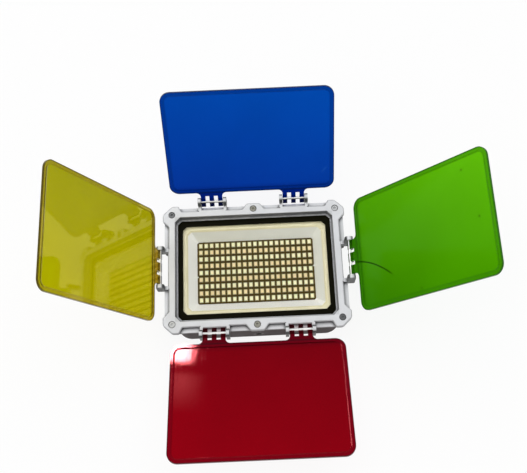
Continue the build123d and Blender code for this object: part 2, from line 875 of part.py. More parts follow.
def driver_capacitors():
    """Two round capacitors, standing on the driver board."""
    top = driver_front_z + capacitor_height
    y = driver_middle_y - capacitor_off_middle
    cans = []
    for number in range(capacitor_count):
        x = driver_half_x - capacitor_end_inset - number * capacitor_pitch
        can = rod_z(x, y, capacitor_radius, driver_front_z, top)
        cans.append(fillet(can.edges().sort_by(Axis.Z)[-1], capacitor_radius / 5))
    return cans


def driver_chips():
    """The flat control chips and the charge light's own small LED."""
    half = chip_size / 2
    y = driver_middle_y - chip_off_middle
    middle = (chip_count - 1) / 2
    chips = []
    for number in range(chip_count):
        x = (number - middle) * chip_pitch
        chips.append(block(x - half, x + half, y - half, y + half, driver_front_z,
                           driver_front_z + chip_height))
    light = charge_light_size / 2
    chips.append(block(-light, light, driver_high_y - charge_light_size, driver_high_y,
                       driver_front_z, driver_front_z + charge_light_size))
    return chips


def charging_port():
    """The charging socket: an oval metal shell with a tongue."""
    def oval(half_x, half_z, low_y, high_y):
        return wall_window(half_x, half_z, half_z - half_z / 100, low_y, high_y)

    back_y = port_mouth_y - port_depth
    shell = oval(port_width / 2, port_height / 2, back_y, port_mouth_y)
    hollow = oval(port_width / 2 - port_shell, port_height / 2 - port_shell, back_y + overrun,
                  port_mouth_y + overrun)
    half_tongue = port_tongue_height / 2
    tongue = block(port_x - port_tongue_width / 2, port_x + port_tongue_width / 2, back_y,
                   port_mouth_y - overrun, port_z - half_tongue, port_z + half_tongue)
    return shell - hollow + tongue


def port_cover():
    """The silicone cover of the charging port, hinged at its outer edge towards -X."""
    low_y = port_cover_pocket_y + port_cover_floor_gap
    plate = wall_window(port_cover_half_x, port_cover_half_z, port_cover_corner, low_y, tub_half_y)
    plug_shrink = port_plug_clearance - port_fit
    plug = wall_window(port_width / 2 - plug_shrink, port_height / 2 - plug_shrink,
                       port_height / 3, low_y - port_plug_depth, low_y)
    grip_x = port_x + port_cover_half_x - port_cover_corner
    grip = block(grip_x - port_grip_width, grip_x, low_y, tub_half_y + port_grip_rise,
                 port_z - port_cover_half_z / 2, port_z + port_cover_half_z / 2)
    return plate + plug + grip


def charge_lens():
    """The clear light pipe of the charge light, through the wall."""
    return rod_y(0, port_z, charge_lens_radius, driver_high_y, tub_half_y)


def power_button():
    """The round power button with the flange that keeps it in the wall."""
    flange_y = bay_half_y - button_flange_gap
    cap = rod_y(button_x, port_z, button_radius, flange_y, tub_half_y + button_rise)
    cap = fillet(cap.edges().filter_by(GeomType.CIRCLE).sort_by(Axis.Y)[-1], button_round)
    flange = rod_y(button_x, port_z, button_flange_radius, flange_y - button_flange_thickness,
                   flange_y)
    stem = rod_y(button_x, port_z, button_stem_radius, button_back_y,
                 flange_y - button_flange_thickness)
    return cap + flange + stem


def power_switch():
    """The small push switch behind the button."""
    body = block(button_x - switch_half_width, button_x + switch_half_width,
                 switch_front_y - switch_depth, switch_front_y, driver_front_z,
                 driver_front_z + switch_height)
    plunger = rod_y(button_x, port_z, switch_plunger_radius, switch_front_y,
                    switch_front_y + switch_plunger_length)
    return body + plunger


def lead(points):
    """A round insulated wire along straight runs with rounded corners."""
    path = FilletPolyline(*points, radius=lead_bend)
    start = Plane(origin=path @ 0, z_dir=path % 0)
    return sweep(start * Circle(lead_radius), path=path)


def led_lead_y():
    """Where the LED leads pass beside the board."""
    return board_half_y + led_lead_out


def led_leads():
    """The two leads from the driver board, through the floor, to the LED board."""
    y = led_lead_y()
    end_z = board_front_z + lead_radius
    return [lead([(x, y, driver_front_z), (x, y, end_z), (x, y - led_lead_out - led_lead_in, end_z)])
            for x in (-led_lead_x, led_lead_x)]


def battery_leads():
    """The two leads from the ends of the cells to the back of the driver board."""
    z = driver_back_z - battery_lead_rise
    end_y = driver_low_y + battery_lead_past
    leads = []
    for way in (-1, 1):
        strip_x = way * (cell_length / 2 + strip_thickness)
        out_x = strip_x + way * battery_lead_out
        leads.append(lead([(strip_x, battery_lead_y, z), (out_x, battery_lead_y, z),
                           (out_x, end_y, z), (out_x, end_y, driver_back_z)]))
    return leads


def tripod_insert():
    """The brass insert with the tripod thread, in the lower long wall."""
    end = -tub_half_y + tripod_insert_length
    insert = rod_y(0, tripod_z, tripod_insert_radius, -tub_half_y, end)
    return insert - rod_y(0, tripod_z, tripod_bore_radius, -tub_half_y - overrun, end + overrun)


def filter_panel(hinge):
    """One filter, flat, with its bar along X at the origin and the panel towards +Y.
    The clip is open at the lit face, and slots part it into fingers that reach past the bar."""
    half_along = hinge.along / 2
    tab_half = (hinge.width / 2 - hinge.ear) - tab_side_clearance
    outline = Pos(0, tab_reach + hinge.reach / 2) * RectangleRounded(
        hinge.along, hinge.reach, filter_corner)
    for place in hinge.places:
        outline += Pos(place, (tab_reach + filter_corner - hinge.finger) / 2) * Rectangle(
            2 * tab_half, tab_reach + filter_corner + hinge.finger)
    roots = [(place + way * tab_half, tab_reach) for place in hinge.places for way in (-1, 1)]
    corners = [outline.vertices().sort_by_distance(root)[0] for root in roots]
    outline = fillet(corners, tab_fillet)
    panel = extrude(outline, amount=lit_face, both=True)
    field = Pos(0, tab_reach + hinge.reach / 2) * RectangleRounded(
        hinge.along - 2 * filter_band, hinge.reach - 2 * filter_band, filter_corner - filter_band)
    for way in (-1, 1):
        middle = way * (filter_thickness - filter_field_recess) / 2
        panel -= Pos(0, 0, middle) * extrude(field, amount=filter_field_recess / 2, both=True)
    for place in hinge.places:
        panel += rod_x(0, 0, clip_radius, place - tab_half, place + tab_half)
    panel -= rod_x(0, 0, clip_bore_radius, -half_along, half_along)
    panel -= block(-half_along, half_along, -clip_radius, clip_radius, lit_face,
                   clip_radius + overrun)
    far_end = -max(clip_radius, hinge.finger) - overrun
    panel -= block(-half_along, half_along, far_end, -hinge.finger, -clip_radius - overrun,
                   clip_radius + overrun)
    panel -= block(-half_along, half_along, far_end, 0, hinge.rise, clip_radius + overrun)
    finger_width = (2 * tab_half - 2 * slot_width) / 3
    for place in hinge.places:
        for way in (-1, 1):
            middle = place + way * (finger_width + slot_width) / 2
            panel -= block(middle - slot_width / 2, middle + slot_width / 2, far_end,
                           slot_length, -clip_radius - overrun, clip_radius + overrun)
    return panel


def placed_filter(hinge):
    """The filter at its bar, tipped up from flat by its rest angle."""
    at_bar = side(hinge) * Pos(0, hinge.out, bar_z(hinge)) * Rot(hinge.rest, 0, 0)
    return at_bar * filter_panel(hinge)


def save(name, shapes):
    """Writes one node, as one solid or as a group of separate solids."""
    if not isinstance(shapes, list):
        shapes = [shapes]
    solids = [solid for shape in shapes for solid in shape.solids()]
    export_step(Compound(children=solids), f"parts/{name}.step")


save("rear_housing", rear_housing())
save("bezel_frame", bezel_frame())
save("bezel_screws", bezel_screws())
save("glass_seal", glass_seal())
save("front_glass", front_glass())
save("reflector_tray", reflector_tray())
save("led_board", led_board())
save("cool_leds", leds(range(0, led_rows, 2)))
save("warm_leds", leds(range(1, led_rows, 2)))
save("thermal_pad", thermal_pad())
save("board_screws", board_screws())
save("led_leads", led_leads())
save("battery_cells", battery_cells())
save("cell_strips", cell_strips())
save("battery_holder", battery_holder())
save("battery_leads", battery_leads())
save("driver_board", driver_board())
save("driver_screws", driver_screws())
save("driver_coil", driver_coil())
save("driver_capacitors", driver_capacitors())
save("driver_chips", driver_chips())
save("charging_port", charging_port())
save("port_cover", port_cover())
save("charge_lens", charge_lens())
save("power_switch", power_switch())
save("power_button", power_button())
save("tripod_insert", tripod_insert())
save("back_cover", back_cover())
save("cover_seal", cover_seal_ring())
save("cover_screws", cover_screws())
for colour, hinge in hinges.items():
    save(f"{colour}_hinge_bars", hinge_bars(hinge))
    save(f"{colour}_filter", placed_filter(hinge))
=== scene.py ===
import json
import math
import bmesh
import bpy
from mathutils import Matrix, Quaternion, Vector


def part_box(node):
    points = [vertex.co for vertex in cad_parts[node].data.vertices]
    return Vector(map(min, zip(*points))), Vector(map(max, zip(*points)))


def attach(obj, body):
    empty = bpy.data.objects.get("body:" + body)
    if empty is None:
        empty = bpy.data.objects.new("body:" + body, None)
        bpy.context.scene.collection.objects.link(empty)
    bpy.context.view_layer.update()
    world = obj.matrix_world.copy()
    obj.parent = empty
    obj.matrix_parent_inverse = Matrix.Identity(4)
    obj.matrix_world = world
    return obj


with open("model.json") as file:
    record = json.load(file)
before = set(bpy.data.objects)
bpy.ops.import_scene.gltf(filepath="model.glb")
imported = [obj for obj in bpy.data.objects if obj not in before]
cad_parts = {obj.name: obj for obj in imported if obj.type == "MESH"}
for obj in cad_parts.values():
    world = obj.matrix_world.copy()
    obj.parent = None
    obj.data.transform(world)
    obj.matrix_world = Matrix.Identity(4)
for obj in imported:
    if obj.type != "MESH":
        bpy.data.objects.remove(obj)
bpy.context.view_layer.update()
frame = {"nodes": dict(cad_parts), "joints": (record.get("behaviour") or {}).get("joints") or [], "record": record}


# Camera. It stands over the lower edge of the light and looks down on the lit face.
# Its place, tilt, lens and shift were fitted to the screws, the board and the hinges in the photograph.
def put_in_scene(name, data):
    """A new object that holds this data, in the scene."""
    thing = bpy.data.objects.new(name, data)
    bpy.context.scene.collection.objects.link(thing)
    return thing


camera_lens = bpy.data.cameras.new("photo_camera")
camera_lens.sensor_width = 36.0
camera_lens.lens = 54.73
camera_lens.shift_x = -0.0089
camera_lens.shift_y = -0.0852
camera_place = Vector((0.0127, -0.1560, 0.633))
camera_right = Vector((0.999, -0.0423, -0.0162)).normalized()
camera_forward = Vector((-0.0007, 0.343, -0.9393)).normalized()
camera_up = camera_right.cross(camera_forward).normalized()
camera_turn = Matrix((camera_right, camera_up, -camera_forward)).transposed()
camera = put_in_scene("photo_camera", camera_lens)
camera.matrix_world = Matrix.Translation(camera_place) @ camera_turn.to_4x4()
bpy.context.scene.camera = camera
bpy.context.scene.view_settings.view_transform = "Standard"


# Floor and room. A pale matt table top carries the light, in a white room with even light.
# The camera, mirrors and clear plastic see it as white, and it still takes the shadow.
def fill_inputs(tree, node, inputs):
    """Each input takes an output to link from, or a plain value. A plain colour leaves out its alpha."""
    for name, value in inputs.items():
        socket = node.inputs[name]
        if isinstance(value, bpy.types.NodeSocket):
            tree.links.new(value, socket)
        elif socket.type == "RGBA":
            socket.default_value = (*value, 1.0)
        else:
            socket.default_value = value


def add(tree, kind, inputs=None, **settings):
    """Puts one shader node in the tree."""
    node = tree.nodes.new("ShaderNode" + kind)
    for name, value in settings.items():
        setattr(node, name, value)
    fill_inputs(tree, node, inputs or {})
    return node


def calculate(tree, operation, first, second=0.0, third=0.0):
    """One sum on up to three values."""
    return add(tree, "Math", {0: first, 1: second, 2: third}, operation=operation).outputs[0]


def spread(tree, value, low, high, new_low=0.0, new_high=1.0, steps="LINEAR"):
    """A value stretched from one range to another, and held inside it."""
    node = add(tree, "MapRange", {"Value": value, "From Min": low, "From Max": high,
                                  "To Min": new_low, "To Max": new_high}, interpolation_type=steps)
    return node.outputs["Result"]


def smooth_step(tree, value, low, high, new_low=0.0, new_high=1.0):
    """The same, with a rounded start and end."""
    return spread(tree, value, low, high, new_low, new_high, "SMOOTHSTEP")


def mix_colours(tree, share, low, high, blend="MIX"):
    """A colour mixed from two, by a mask."""
    node = add(tree, "Mix", {0: share, 6: low, 7: high}, data_type="RGBA", blend_type=blend)
    return node.outputs[2]


def mix_shaders(tree, share, first, second):
    """A surface mixed from two, by a mask."""
    return add(tree, "MixShader", {0: share, 1: first.outputs[0], 2: second.outputs[0]})


def split(tree, vector):
    """The X, Y and Z of a place or a direction."""
    return tuple(add(tree, "SeparateXYZ", {0: vector}).outputs)


def empty_tree(owner):
    """The empty shader tree of a material, a lamp or the room."""
    owner.use_nodes = True
    owner.node_tree.nodes.clear()
    return owner.node_tree


def blank_material(name):
    """A new material and its empty tree."""
    material = bpy.data.materials.new(name)
    return material, empty_tree(material)


def seen_ray(tree):
    """One where a ray comes from the camera, a mirror or clear plastic, and zero elsewhere."""
    path = add(tree, "LightPath").outputs
    seen = calculate(tree, "MAXIMUM", path["Is Camera Ray"], path["Is Glossy Ray"])
    return calculate(tree, "MAXIMUM", seen, path["Is Transmission Ray"])


white = (1.0, 1.0, 1.0)
table_reach = 4.0
table_drop = 0.0002

table_finish, tree = blank_material("pale_table")
table_fleck = add(tree, "TexNoise", {"Scale": 40.0, "Detail": 4.0}).outputs["Fac"]
table_tone = mix_colours(tree, table_fleck, (0.86, 0.86, 0.86), (0.92, 0.92, 0.92))
table_matt = add(tree, "BsdfDiffuse", {"Color": table_tone, "Roughness": 0.6})
table_white = add(tree, "Emission", {"Color": white, "Strength": 1.0})
white_share = calculate(tree, "MULTIPLY", seen_ray(tree), 0.9)
table_seen = mix_shaders(tree, white_share, table_matt, table_white)
add(tree, "OutputMaterial", {"Surface": table_seen.outputs[0]})

table_mesh = bpy.data.meshes.new("table")
table_corners = [(way_x * table_reach, way_y * table_reach, -table_drop)
                 for way_x, way_y in ((-1, -1), (1, -1), (1, 1), (-1, 1))]
table_mesh.from_pydata(table_corners, [], [(0, 1, 2, 3)])
table_mesh.materials.append(table_finish)
table = put_in_scene("table", table_mesh)

room = bpy.data.worlds.new("white_room")
bpy.context.scene.world = room
tree = empty_tree(room)
room_light = add(tree, "Background", {"Color": white, "Strength": 0.42})
room_white = add(tree, "Background", {"Color": white, "Strength": 1.0})
room_mix = mix_shaders(tree, seen_ray(tree), room_light, room_white)
way_up = split(tree, add(tree, "TexCoord").outputs["Generated"])[2]
ceiling_dimming = smooth_step(tree, way_up, 0.1, 0.8, 0.9, 0.16)
room_ceiling = add(tree, "Background", {"Color": white, "Strength": ceiling_dimming})
mirror_ray = add(tree, "LightPath").outputs["Is Glossy Ray"]
room_seen = mix_shaders(tree, mirror_ray, room_mix, room_ceiling)
add(tree, "OutputWorld", {"Surface": room_seen.outputs[0]})


def soft_lamp(name, place, target, size, power, roll=0.0):
    """A rectangular soft box that points at the target."""
    lamp_data = bpy.data.lights.new(name, "AREA")
    lamp_data.shape = "RECTANGLE"
    lamp_data.size, lamp_data.size_y = size
    lamp_data.energy = power
    lamp = put_in_scene(name, lamp_data)
    lamp.visible_camera = False
    lamp.visible_transmission = False
    lamp.location = place
    aim = (Vector(target) - Vector(place)).to_track_quat("-Z", "Y")
    lamp.rotation_euler = (aim @ Quaternion((0.0, 0.0, 1.0), math.radians(roll))).to_euler()
    return lamp


def mirrored_only(lamp, soft_edges=None):
    """A lamp that shows in shiny surfaces and lights nothing else. Each edge fades over its share."""
    lamp.visible_diffuse = False
    if soft_edges is None:
        return
    tree = empty_tree(lamp.data)
    across = split(tree, add(tree, "NewGeometry").outputs["Parametric"])
    strength = 1.0
    for value, (low_edge, high_edge) in zip(across, soft_edges):
        for start, end in ((0.0, low_edge), (1.0, 1.0 - high_edge)):
            fade = smooth_step(tree, value, start, end)
            strength = calculate(tree, "MULTIPLY", strength, fade)
    glow = add(tree, "Emission", {"Color": white, "Strength": strength})
    add(tree, "OutputLight", {"Surface": glow.outputs[0]})


lit_middle = (0.0, 0.0, 0.03)
window_roll = -12.6
key_lamp = soft_lamp("key_lamp", (0.05, 0.18, 1.3), lit_middle, (1.0, 1.0), 11.0)
key_lamp.visible_glossy = False
soft_lamp("fill_lamp", (-0.9, -0.3, 1.1), lit_middle, (0.9, 0.9), 3.0)
side_lamp = soft_lamp("side_lamp", (-0.8, 0.6, 1.2), lit_middle, (0.6, 0.6), 12.0)
mirrored_only(side_lamp)
window_pane = soft_lamp("window_pane", (-0.1705, 0.5986, 0.7946), (-0.0549, -0.0667, 0.0569),
                        (0.061, 0.041), 1.4, window_roll)
mirrored_only(window_pane, ((0.45, 0.05), (0.03, 0.42)))
window_glow = soft_lamp("window_glow", (-0.1582, 0.5385, 0.8349), (-0.0505, -0.0986, 0.0717),
                        (0.080, 0.085), 0.08, window_roll)
mirrored_only(window_glow, ((0.75, 0.2), (0.18, 0.8)))


# Rear housing. A tub die-cast in alloy, with cooling fins at both ends and a bay for the battery,
# and a dark grey powder coat that is finely pebbled, a little rubbed on the edges and dusty in the corners.
def object_place(tree):
    """Where a point of the light lies, in metres."""
    return add(tree, "TexCoord").outputs["Object"]


def noise(tree, place, scale, detail=2.0, **more):
    """A cloudy value that mostly lies between 0.3 and 0.7."""
    inputs = {"Vector": place, "Scale": scale, "Detail": detail, **more}
    return add(tree, "TexNoise", inputs).outputs["Fac"]


def vary(tree, cloud, low=0.0, high=1.0):
    """A value between low and high that follows a noise."""
    return spread(tree, cloud, 0.3, 0.7, low, high)


def two_tones(tree, cloud, low, high):
    """A colour between two that follows a noise."""
    return mix_colours(tree, vary(tree, cloud), low, high)


def tint(tree, colour, value):
    """A colour made darker or lighter by a value or by another colour."""
    return mix_colours(tree, 1.0, colour, value, "MULTIPLY")


socket_kinds = {float: "NodeSocketFloat", tuple: "NodeSocketColor", Vector: "NodeSocketVector"}
surface_outputs = {"Colour": tuple, "Roughness": float, "Height": float}


def start_group(name, inputs, outputs):
    """An empty shader group. Each input has its usual value, and each output has its type of value."""
    group = bpy.data.node_groups.new(name, "ShaderNodeTree")
    for socket_name, value in inputs.items():
        socket = group.interface.new_socket(name=socket_name, in_out="INPUT",
                                            socket_type=socket_kinds[type(value)])
        socket.default_value = (*value, 1.0) if isinstance(value, tuple) else value
    for socket_name, kind in outputs.items():
        group.interface.new_socket(name=socket_name, in_out="OUTPUT", socket_type=socket_kinds[kind])
    return group, group.nodes.new("NodeGroupInput").outputs, group.nodes.new("NodeGroupOutput")


def edge_wear_group():
    """Masks of the outer edges, where paint rubs thin, and of the inner corners, which hold dust on some parts and
    painted shade on others.
    """
    group, given, result = start_group(
        "edge_wear", {"Edge width": 0.0008, "Corner width": 0.0008, "Rubbing": 0.5, "Dust and shade": 0.5},
        {"Edge": float, "Corner": float})
    outer = add(group, "AmbientOcclusion", {"Distance": given["Edge width"]}, samples=8, inside=True)
    inner = add(group, "AmbientOcclusion", {"Distance": given["Corner width"]}, samples=8)
    patches = noise(group, object_place(group), 420.0, 5.0)
    edge = spread(group, outer.outputs["AO"], 0.9, 0.4)
    rubbed = calculate(group, "MULTIPLY", edge, spread(group, patches, 0.38, 0.62))
    corner = spread(group, inner.outputs["AO"], 0.95, 0.35)
    fill_inputs(group, result, {"Edge": calculate(group, "MULTIPLY", rubbed, given["Rubbing"]),
                                "Corner": calculate(group, "MULTIPLY", corner, given["Dust and shade"])})
    return group


def cast_paint_group():
    """Sprayed or powdered paint on a casting: its pebbles, clouds, rubbed edges, and corners mixed towards the
    dust and shade colour, which is dust on the tub and cover and painted shade on the bezel.
    """
    group, given, result = start_group(
        "cast_paint",
        {"Colour": (0.5, 0.5, 0.5), "Edge colour": (0.7, 0.7, 0.7), "Dust and shade colour": (0.4, 0.38, 0.35),
         "Pebble scale": 1500.0, "Gloss": 0.4, "Edge width": 0.0008, "Corner width": 0.0008,
         "Rubbing": 0.5, "Dust and shade": 0.5}, surface_outputs)
    place = object_place(group)
    wear_inputs = {name: given[name] for name in ("Edge width", "Corner width", "Rubbing", "Dust and shade")}
    wear = add(group, "Group", wear_inputs, node_tree=edge_wear).outputs
    clouds = noise(group, place, 45.0, 6.0, Roughness=0.6)
    pebbles = noise(group, place, given["Pebble scale"])
    flecks = add(group, "TexVoronoi", {"Vector": place, "Scale": 600.0}).outputs["Distance"]
    toned = tint(group, given["Colour"], vary(group, clouds, 0.93, 1.06))
    dusty_and_shaded = mix_colours(group, wear["Corner"], toned, given["Dust and shade colour"])
    worn = mix_colours(group, wear["Edge"], dusty_and_shaded, given["Edge colour"])
    rough = calculate(group, "ADD", vary(group, clouds, -0.05, 0.07), given["Gloss"])
    polish = calculate(group, "MULTIPLY", wear["Edge"], 0.12)
    grit = spread(group, flecks, 0.0, 0.25, 0.25, 0.0)
    fill_inputs(group, result, {"Colour": worn, "Height": calculate(group, "ADD", pebbles, grit),
                                "Roughness": calculate(group, "SUBTRACT", rough, polish)})
    return group


edge_wear = edge_wear_group()
cast_paint = cast_paint_group()


def rounded_bump(tree, height, distance, strength, edge_radius=0.0002):
    """A bump on the height, over edges that look slightly rounded."""
    edges = add(tree, "Bevel", {"Radius": edge_radius}, samples=6)
    bump = add(tree, "Bump", {"Height": height, "Distance": distance, "Strength": strength,
                              "Normal": edges.outputs["Normal"]})
    return bump.outputs["Normal"]


def finish_material(material, tree, inputs):
    """Gives the material its surface."""
    shader = add(tree, "BsdfPrincipled", inputs)
    add(tree, "OutputMaterial", {"Surface": shader.outputs[0]})
    return material


def dress(material, *names):
    """Gives CAD nodes their material."""
    for name in names:
        for material_slot in frame["nodes"][name].material_slots:
            material_slot.material = material


def powder_coat(name, look):
    """Matt dark powder coat with its own colours and wear."""
    material, tree = blank_material(name)
    paint = add(tree, "Group", {"Pebble scale": 1700.0, **look}, node_tree=cast_paint).outputs
    return finish_material(material, tree, {
        "Base Color": paint["Colour"], "Roughness": paint["Roughness"], "Specular IOR Level": 0.05,
        "Normal": rounded_bump(tree, paint["Height"], 0.00012, 0.45, 0.0003)})


dress(powder_coat("powder_coated_housing", {
    "Colour": (0.060, 0.046, 0.047), "Edge colour": (0.11, 0.095, 0.095),
    "Dust and shade colour": (0.070, 0.060, 0.058), "Gloss": 0.52, "Rubbing": 0.6, "Dust and shade": 0.4}), "rear_housing")


# Tripod socket. A blackened brass insert pressed into the lower wall, with a cut thread inside.
# The thread is too fine for the solid, so its ridges are in the finish.
def radius_of(tree, across, upward):
    """How far a point lies from the middle of a circle."""
    square = calculate(tree, "ADD", calculate(tree, "POWER", across, 2.0),
                       calculate(tree, "POWER", upward, 2.0))
    return calculate(tree, "SQRT", square)


thread_mount = next(mount for mount in frame["record"]["mounts"] if mount["name"] == "tripod_thread")
thread_height = thread_mount["pos_m"][2]
thread_mouth = thread_mount["dims"]["r_mm"] / 1000.0 + 0.00025
mouth_fade = 0.0003
thread_pitch = 0.0254 / 20.0

brass_finish, tree = blank_material("threaded_brass")
place = object_place(tree)
x, y, z = split(tree, place)
upward = calculate(tree, "SUBTRACT", z, thread_height)
angle = calculate(tree, "ARCTAN2", upward, x)
turns = calculate(tree, "ADD", calculate(tree, "DIVIDE", y, thread_pitch),
                  calculate(tree, "DIVIDE", angle, math.tau))
thread = calculate(tree, "PINGPONG", turns, 0.5)
inside = spread(tree, radius_of(tree, x, upward), thread_mouth + mouth_fade, thread_mouth)
# Painted shade: the grooves of the thread are darkened.
groove_shade = calculate(tree, "MULTIPLY", inside, spread(tree, thread, 0.0, 0.2, 1.0, 0.0))
grime = noise(tree, place, 900.0, 4.0)
brass_tone = mix_colours(tree, spread(tree, grime, 0.35, 0.7), (0.060, 0.048, 0.044),
                         (0.040, 0.032, 0.030))
dress(finish_material(brass_finish, tree, {
    "Base Color": mix_colours(tree, groove_shade, brass_tone, (0.012, 0.010, 0.009)),
    "Metallic": calculate(tree, "MULTIPLY", inside, 0.6), "Specular IOR Level": 0.1,
    "Roughness": vary(tree, grime, 0.38, 0.5),
    "Normal": rounded_bump(tree, calculate(tree, "MULTIPLY", inside, thread), 0.0006, 0.7)}),
    "tripod_insert")


# Battery. Three round lithium cells in heat-shrunk sleeves, with bare plated steel at both ends,
# joined by spot-welded nickel strips in a black moulded tray.
def ripples(tree, place, scale):
    """Fine ripples of a shrunk or drawn skin."""
    return noise(tree, place, scale, 3.0, Distortion=0.6)


cell_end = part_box("battery_cells")[1].x
sleeve_end = cell_end - 0.0008
sleeve_lip = 0.0002

sleeve_finish, tree = blank_material("sleeved_cells")
place = object_place(tree)
from_middle = calculate(tree, "ABSOLUTE", split(tree, place)[0])
bare_end = spread(tree, from_middle, sleeve_end, sleeve_end + sleeve_lip)
skin = ripples(tree, place, 260.0)
sleeve_tone = two_tones(tree, skin, (0.035, 0.13, 0.24), (0.05, 0.17, 0.30))
dress(finish_material(sleeve_finish, tree, {
    "Base Color": mix_colours(tree, bare_end, sleeve_tone, (0.60, 0.59, 0.57)),
    "Metallic": bare_end, "Roughness": vary(tree, skin, 0.30, 0.42),
    "Normal": rounded_bump(tree, skin, 0.0002, 0.4)}), "battery_cells")


def brushed_metal_group():
    """Drawn or rolled bare metal: fine streaks along one direction and cloudy dull patches."""
    group, given, result = start_group(
        "brushed_metal",
        {"Colour": (0.6, 0.6, 0.6), "Dull colour": (0.4, 0.4, 0.4), "Stretch": Vector((1.0, 1.0, 1.0)),
         "Streak scale": 2000.0, "Gloss": 0.3}, surface_outputs)
    place = object_place(group)
    drawn = add(group, "VectorMath", {0: place, 1: given["Stretch"]}, operation="MULTIPLY").outputs[0]
    streaks = noise(group, drawn, given["Streak scale"], 3.0)
    dull = spread(group, noise(group, place, 160.0, 4.0), 0.42, 0.68)
    toned = mix_colours(group, dull, given["Colour"], given["Dull colour"])
    rough = calculate(group, "MULTIPLY_ADD", dull, 0.1, vary(group, streaks, -0.06, 0.08))
    fill_inputs(group, result, {"Colour": tint(group, toned, vary(group, streaks, 0.88, 1.08)),
                                "Roughness": calculate(group, "ADD", rough, given["Gloss"]),
                                "Height": streaks})
    return group


brushed_metal = brushed_metal_group()


def metal_look(tree, colour, dull_colour, stretch, gloss, streak_scale=2000.0):
    """The shader inputs of bare metal with its streaks."""
    metal = add(tree, "Group", {
        "Colour": colour, "Dull colour": dull_colour, "Stretch": stretch, "Gloss": gloss,
        "Streak scale": streak_scale}, node_tree=brushed_metal).outputs
    return {"Base Color": metal["Colour"], "Roughness": metal["Roughness"], "Metallic": 1.0,
            "Normal": rounded_bump(tree, metal["Height"], 0.00003, 0.35)}


nickel_finish, tree = blank_material("rolled_nickel")
dress(finish_material(nickel_finish, tree, metal_look(
    tree, (0.62, 0.60, 0.57), (0.50, 0.48, 0.45), (1.0, 0.08, 1.0), 0.28)), "cell_strips")


def moulded_plastic_group():
    """Injection-moulded plastic: fine spark-eroded grain, faint flow clouds and rubbed edges."""
    group, given, result = start_group(
        "moulded_plastic",
        {"Colour": (0.1, 0.1, 0.1), "Edge colour": (0.2, 0.2, 0.2), "Grain scale": 3000.0,
         "Gloss": 0.45, "Rubbing": 0.4}, surface_outputs)
    place = object_place(group)
    grain = noise(group, place, given["Grain scale"])
    flow = noise(group, place, 70.0, 3.0, Distortion=1.2)
    wear = add(group, "Group", {"Edge width": 0.0005, "Dust and shade": 0.0, "Rubbing": given["Rubbing"]},
               node_tree=edge_wear).outputs
    toned = tint(group, given["Colour"], vary(group, flow, 0.9, 1.1))
    rough = calculate(group, "ADD", vary(group, grain, -0.04, 0.06), given["Gloss"])
    fill_inputs(group, result, {
        "Colour": mix_colours(group, wear["Edge"], toned, given["Edge colour"]),
        "Roughness": rough, "Height": grain})
    return group


moulded_plastic = moulded_plastic_group()


def plastic_material(name, colour, edge_colour, gloss, grain_scale=3000.0, bump=0.3, sheen=0.0,
                     specular=0.5):
    """A moulded plastic or rubber finish."""
    material, tree = blank_material(name)
    plastic = add(tree, "Group", {"Colour": colour, "Edge colour": edge_colour, "Gloss": gloss,
                                  "Grain scale": grain_scale}, node_tree=moulded_plastic).outputs
    return finish_material(material, tree, {
        "Base Color": plastic["Colour"], "Roughness": plastic["Roughness"], "Sheen Weight": sheen,
        "Specular IOR Level": specular,
        "Normal": rounded_bump(tree, plastic["Height"], 0.00006, bump)})


black_plastic = plastic_material("black_moulding", (0.022, 0.022, 0.024), (0.07, 0.07, 0.072), 0.42)
red_lead = plastic_material("silicone_lead", (0.42, 0.025, 0.02), (0.5, 0.08, 0.07), 0.4, 1600.0)
dress(black_plastic, "battery_holder")
dress(red_lead, "battery_leads")


# Driver board. Green glass-fibre board with a coil, two capacitors and three chips,
# held on posts by four small screws. Its tracks and drilled holes are in the finish.
track_pitch = 0.0022
track_gap = track_pitch * 0.16

board_green, tree = blank_material("green_circuit_board")
place = object_place(tree)
tracks = add(tree, "TexBrick", {
    "Vector": place, "Color1": white, "Color2": (0.6, 0.6, 0.6), "Mortar": (0.0, 0.0, 0.0),
    "Scale": 1.0, "Mortar Size": track_gap, "Brick Width": track_pitch * 3.0,
    "Row Height": track_pitch}).outputs
hole_scale = 1.0 / (track_pitch * 1.6)
holes = add(tree, "TexVoronoi", {"Vector": place, "Scale": hole_scale}).outputs["Distance"]
hole_ring = spread(tree, holes, 0.16, 0.12)
laid = mix_colours(tree, tracks["Color"], (0.01, 0.10, 0.035), (0.02, 0.17, 0.06))
tinned = mix_colours(tree, hole_ring, laid, (0.62, 0.61, 0.58))
# Painted shade: the middle of each hole is near black, where the hole goes through.
dress(finish_material(board_green, tree, {
    "Base Color": mix_colours(tree, spread(tree, holes, 0.07, 0.05), tinned, (0.02, 0.02, 0.02)),
    "Metallic": hole_ring, "Roughness": vary(tree, noise(tree, place, 3500.0), 0.26, 0.38),
    "Normal": rounded_bump(tree, tracks["Fac"], 0.00004, 0.5)}), "driver_board")

screw_steel, tree = blank_material("plated_screws")
finish_material(screw_steel, tree, metal_look(tree, (0.60, 0.60, 0.60), (0.42, 0.41, 0.39),
                                              (1.0, 1.0, 0.3), 0.30))
dress(screw_steel, "driver_screws")

coil_low, coil_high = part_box("driver_coil")
coil_flange = 0.0012
flange_fade = 0.0001
wire_pitch = 0.00045

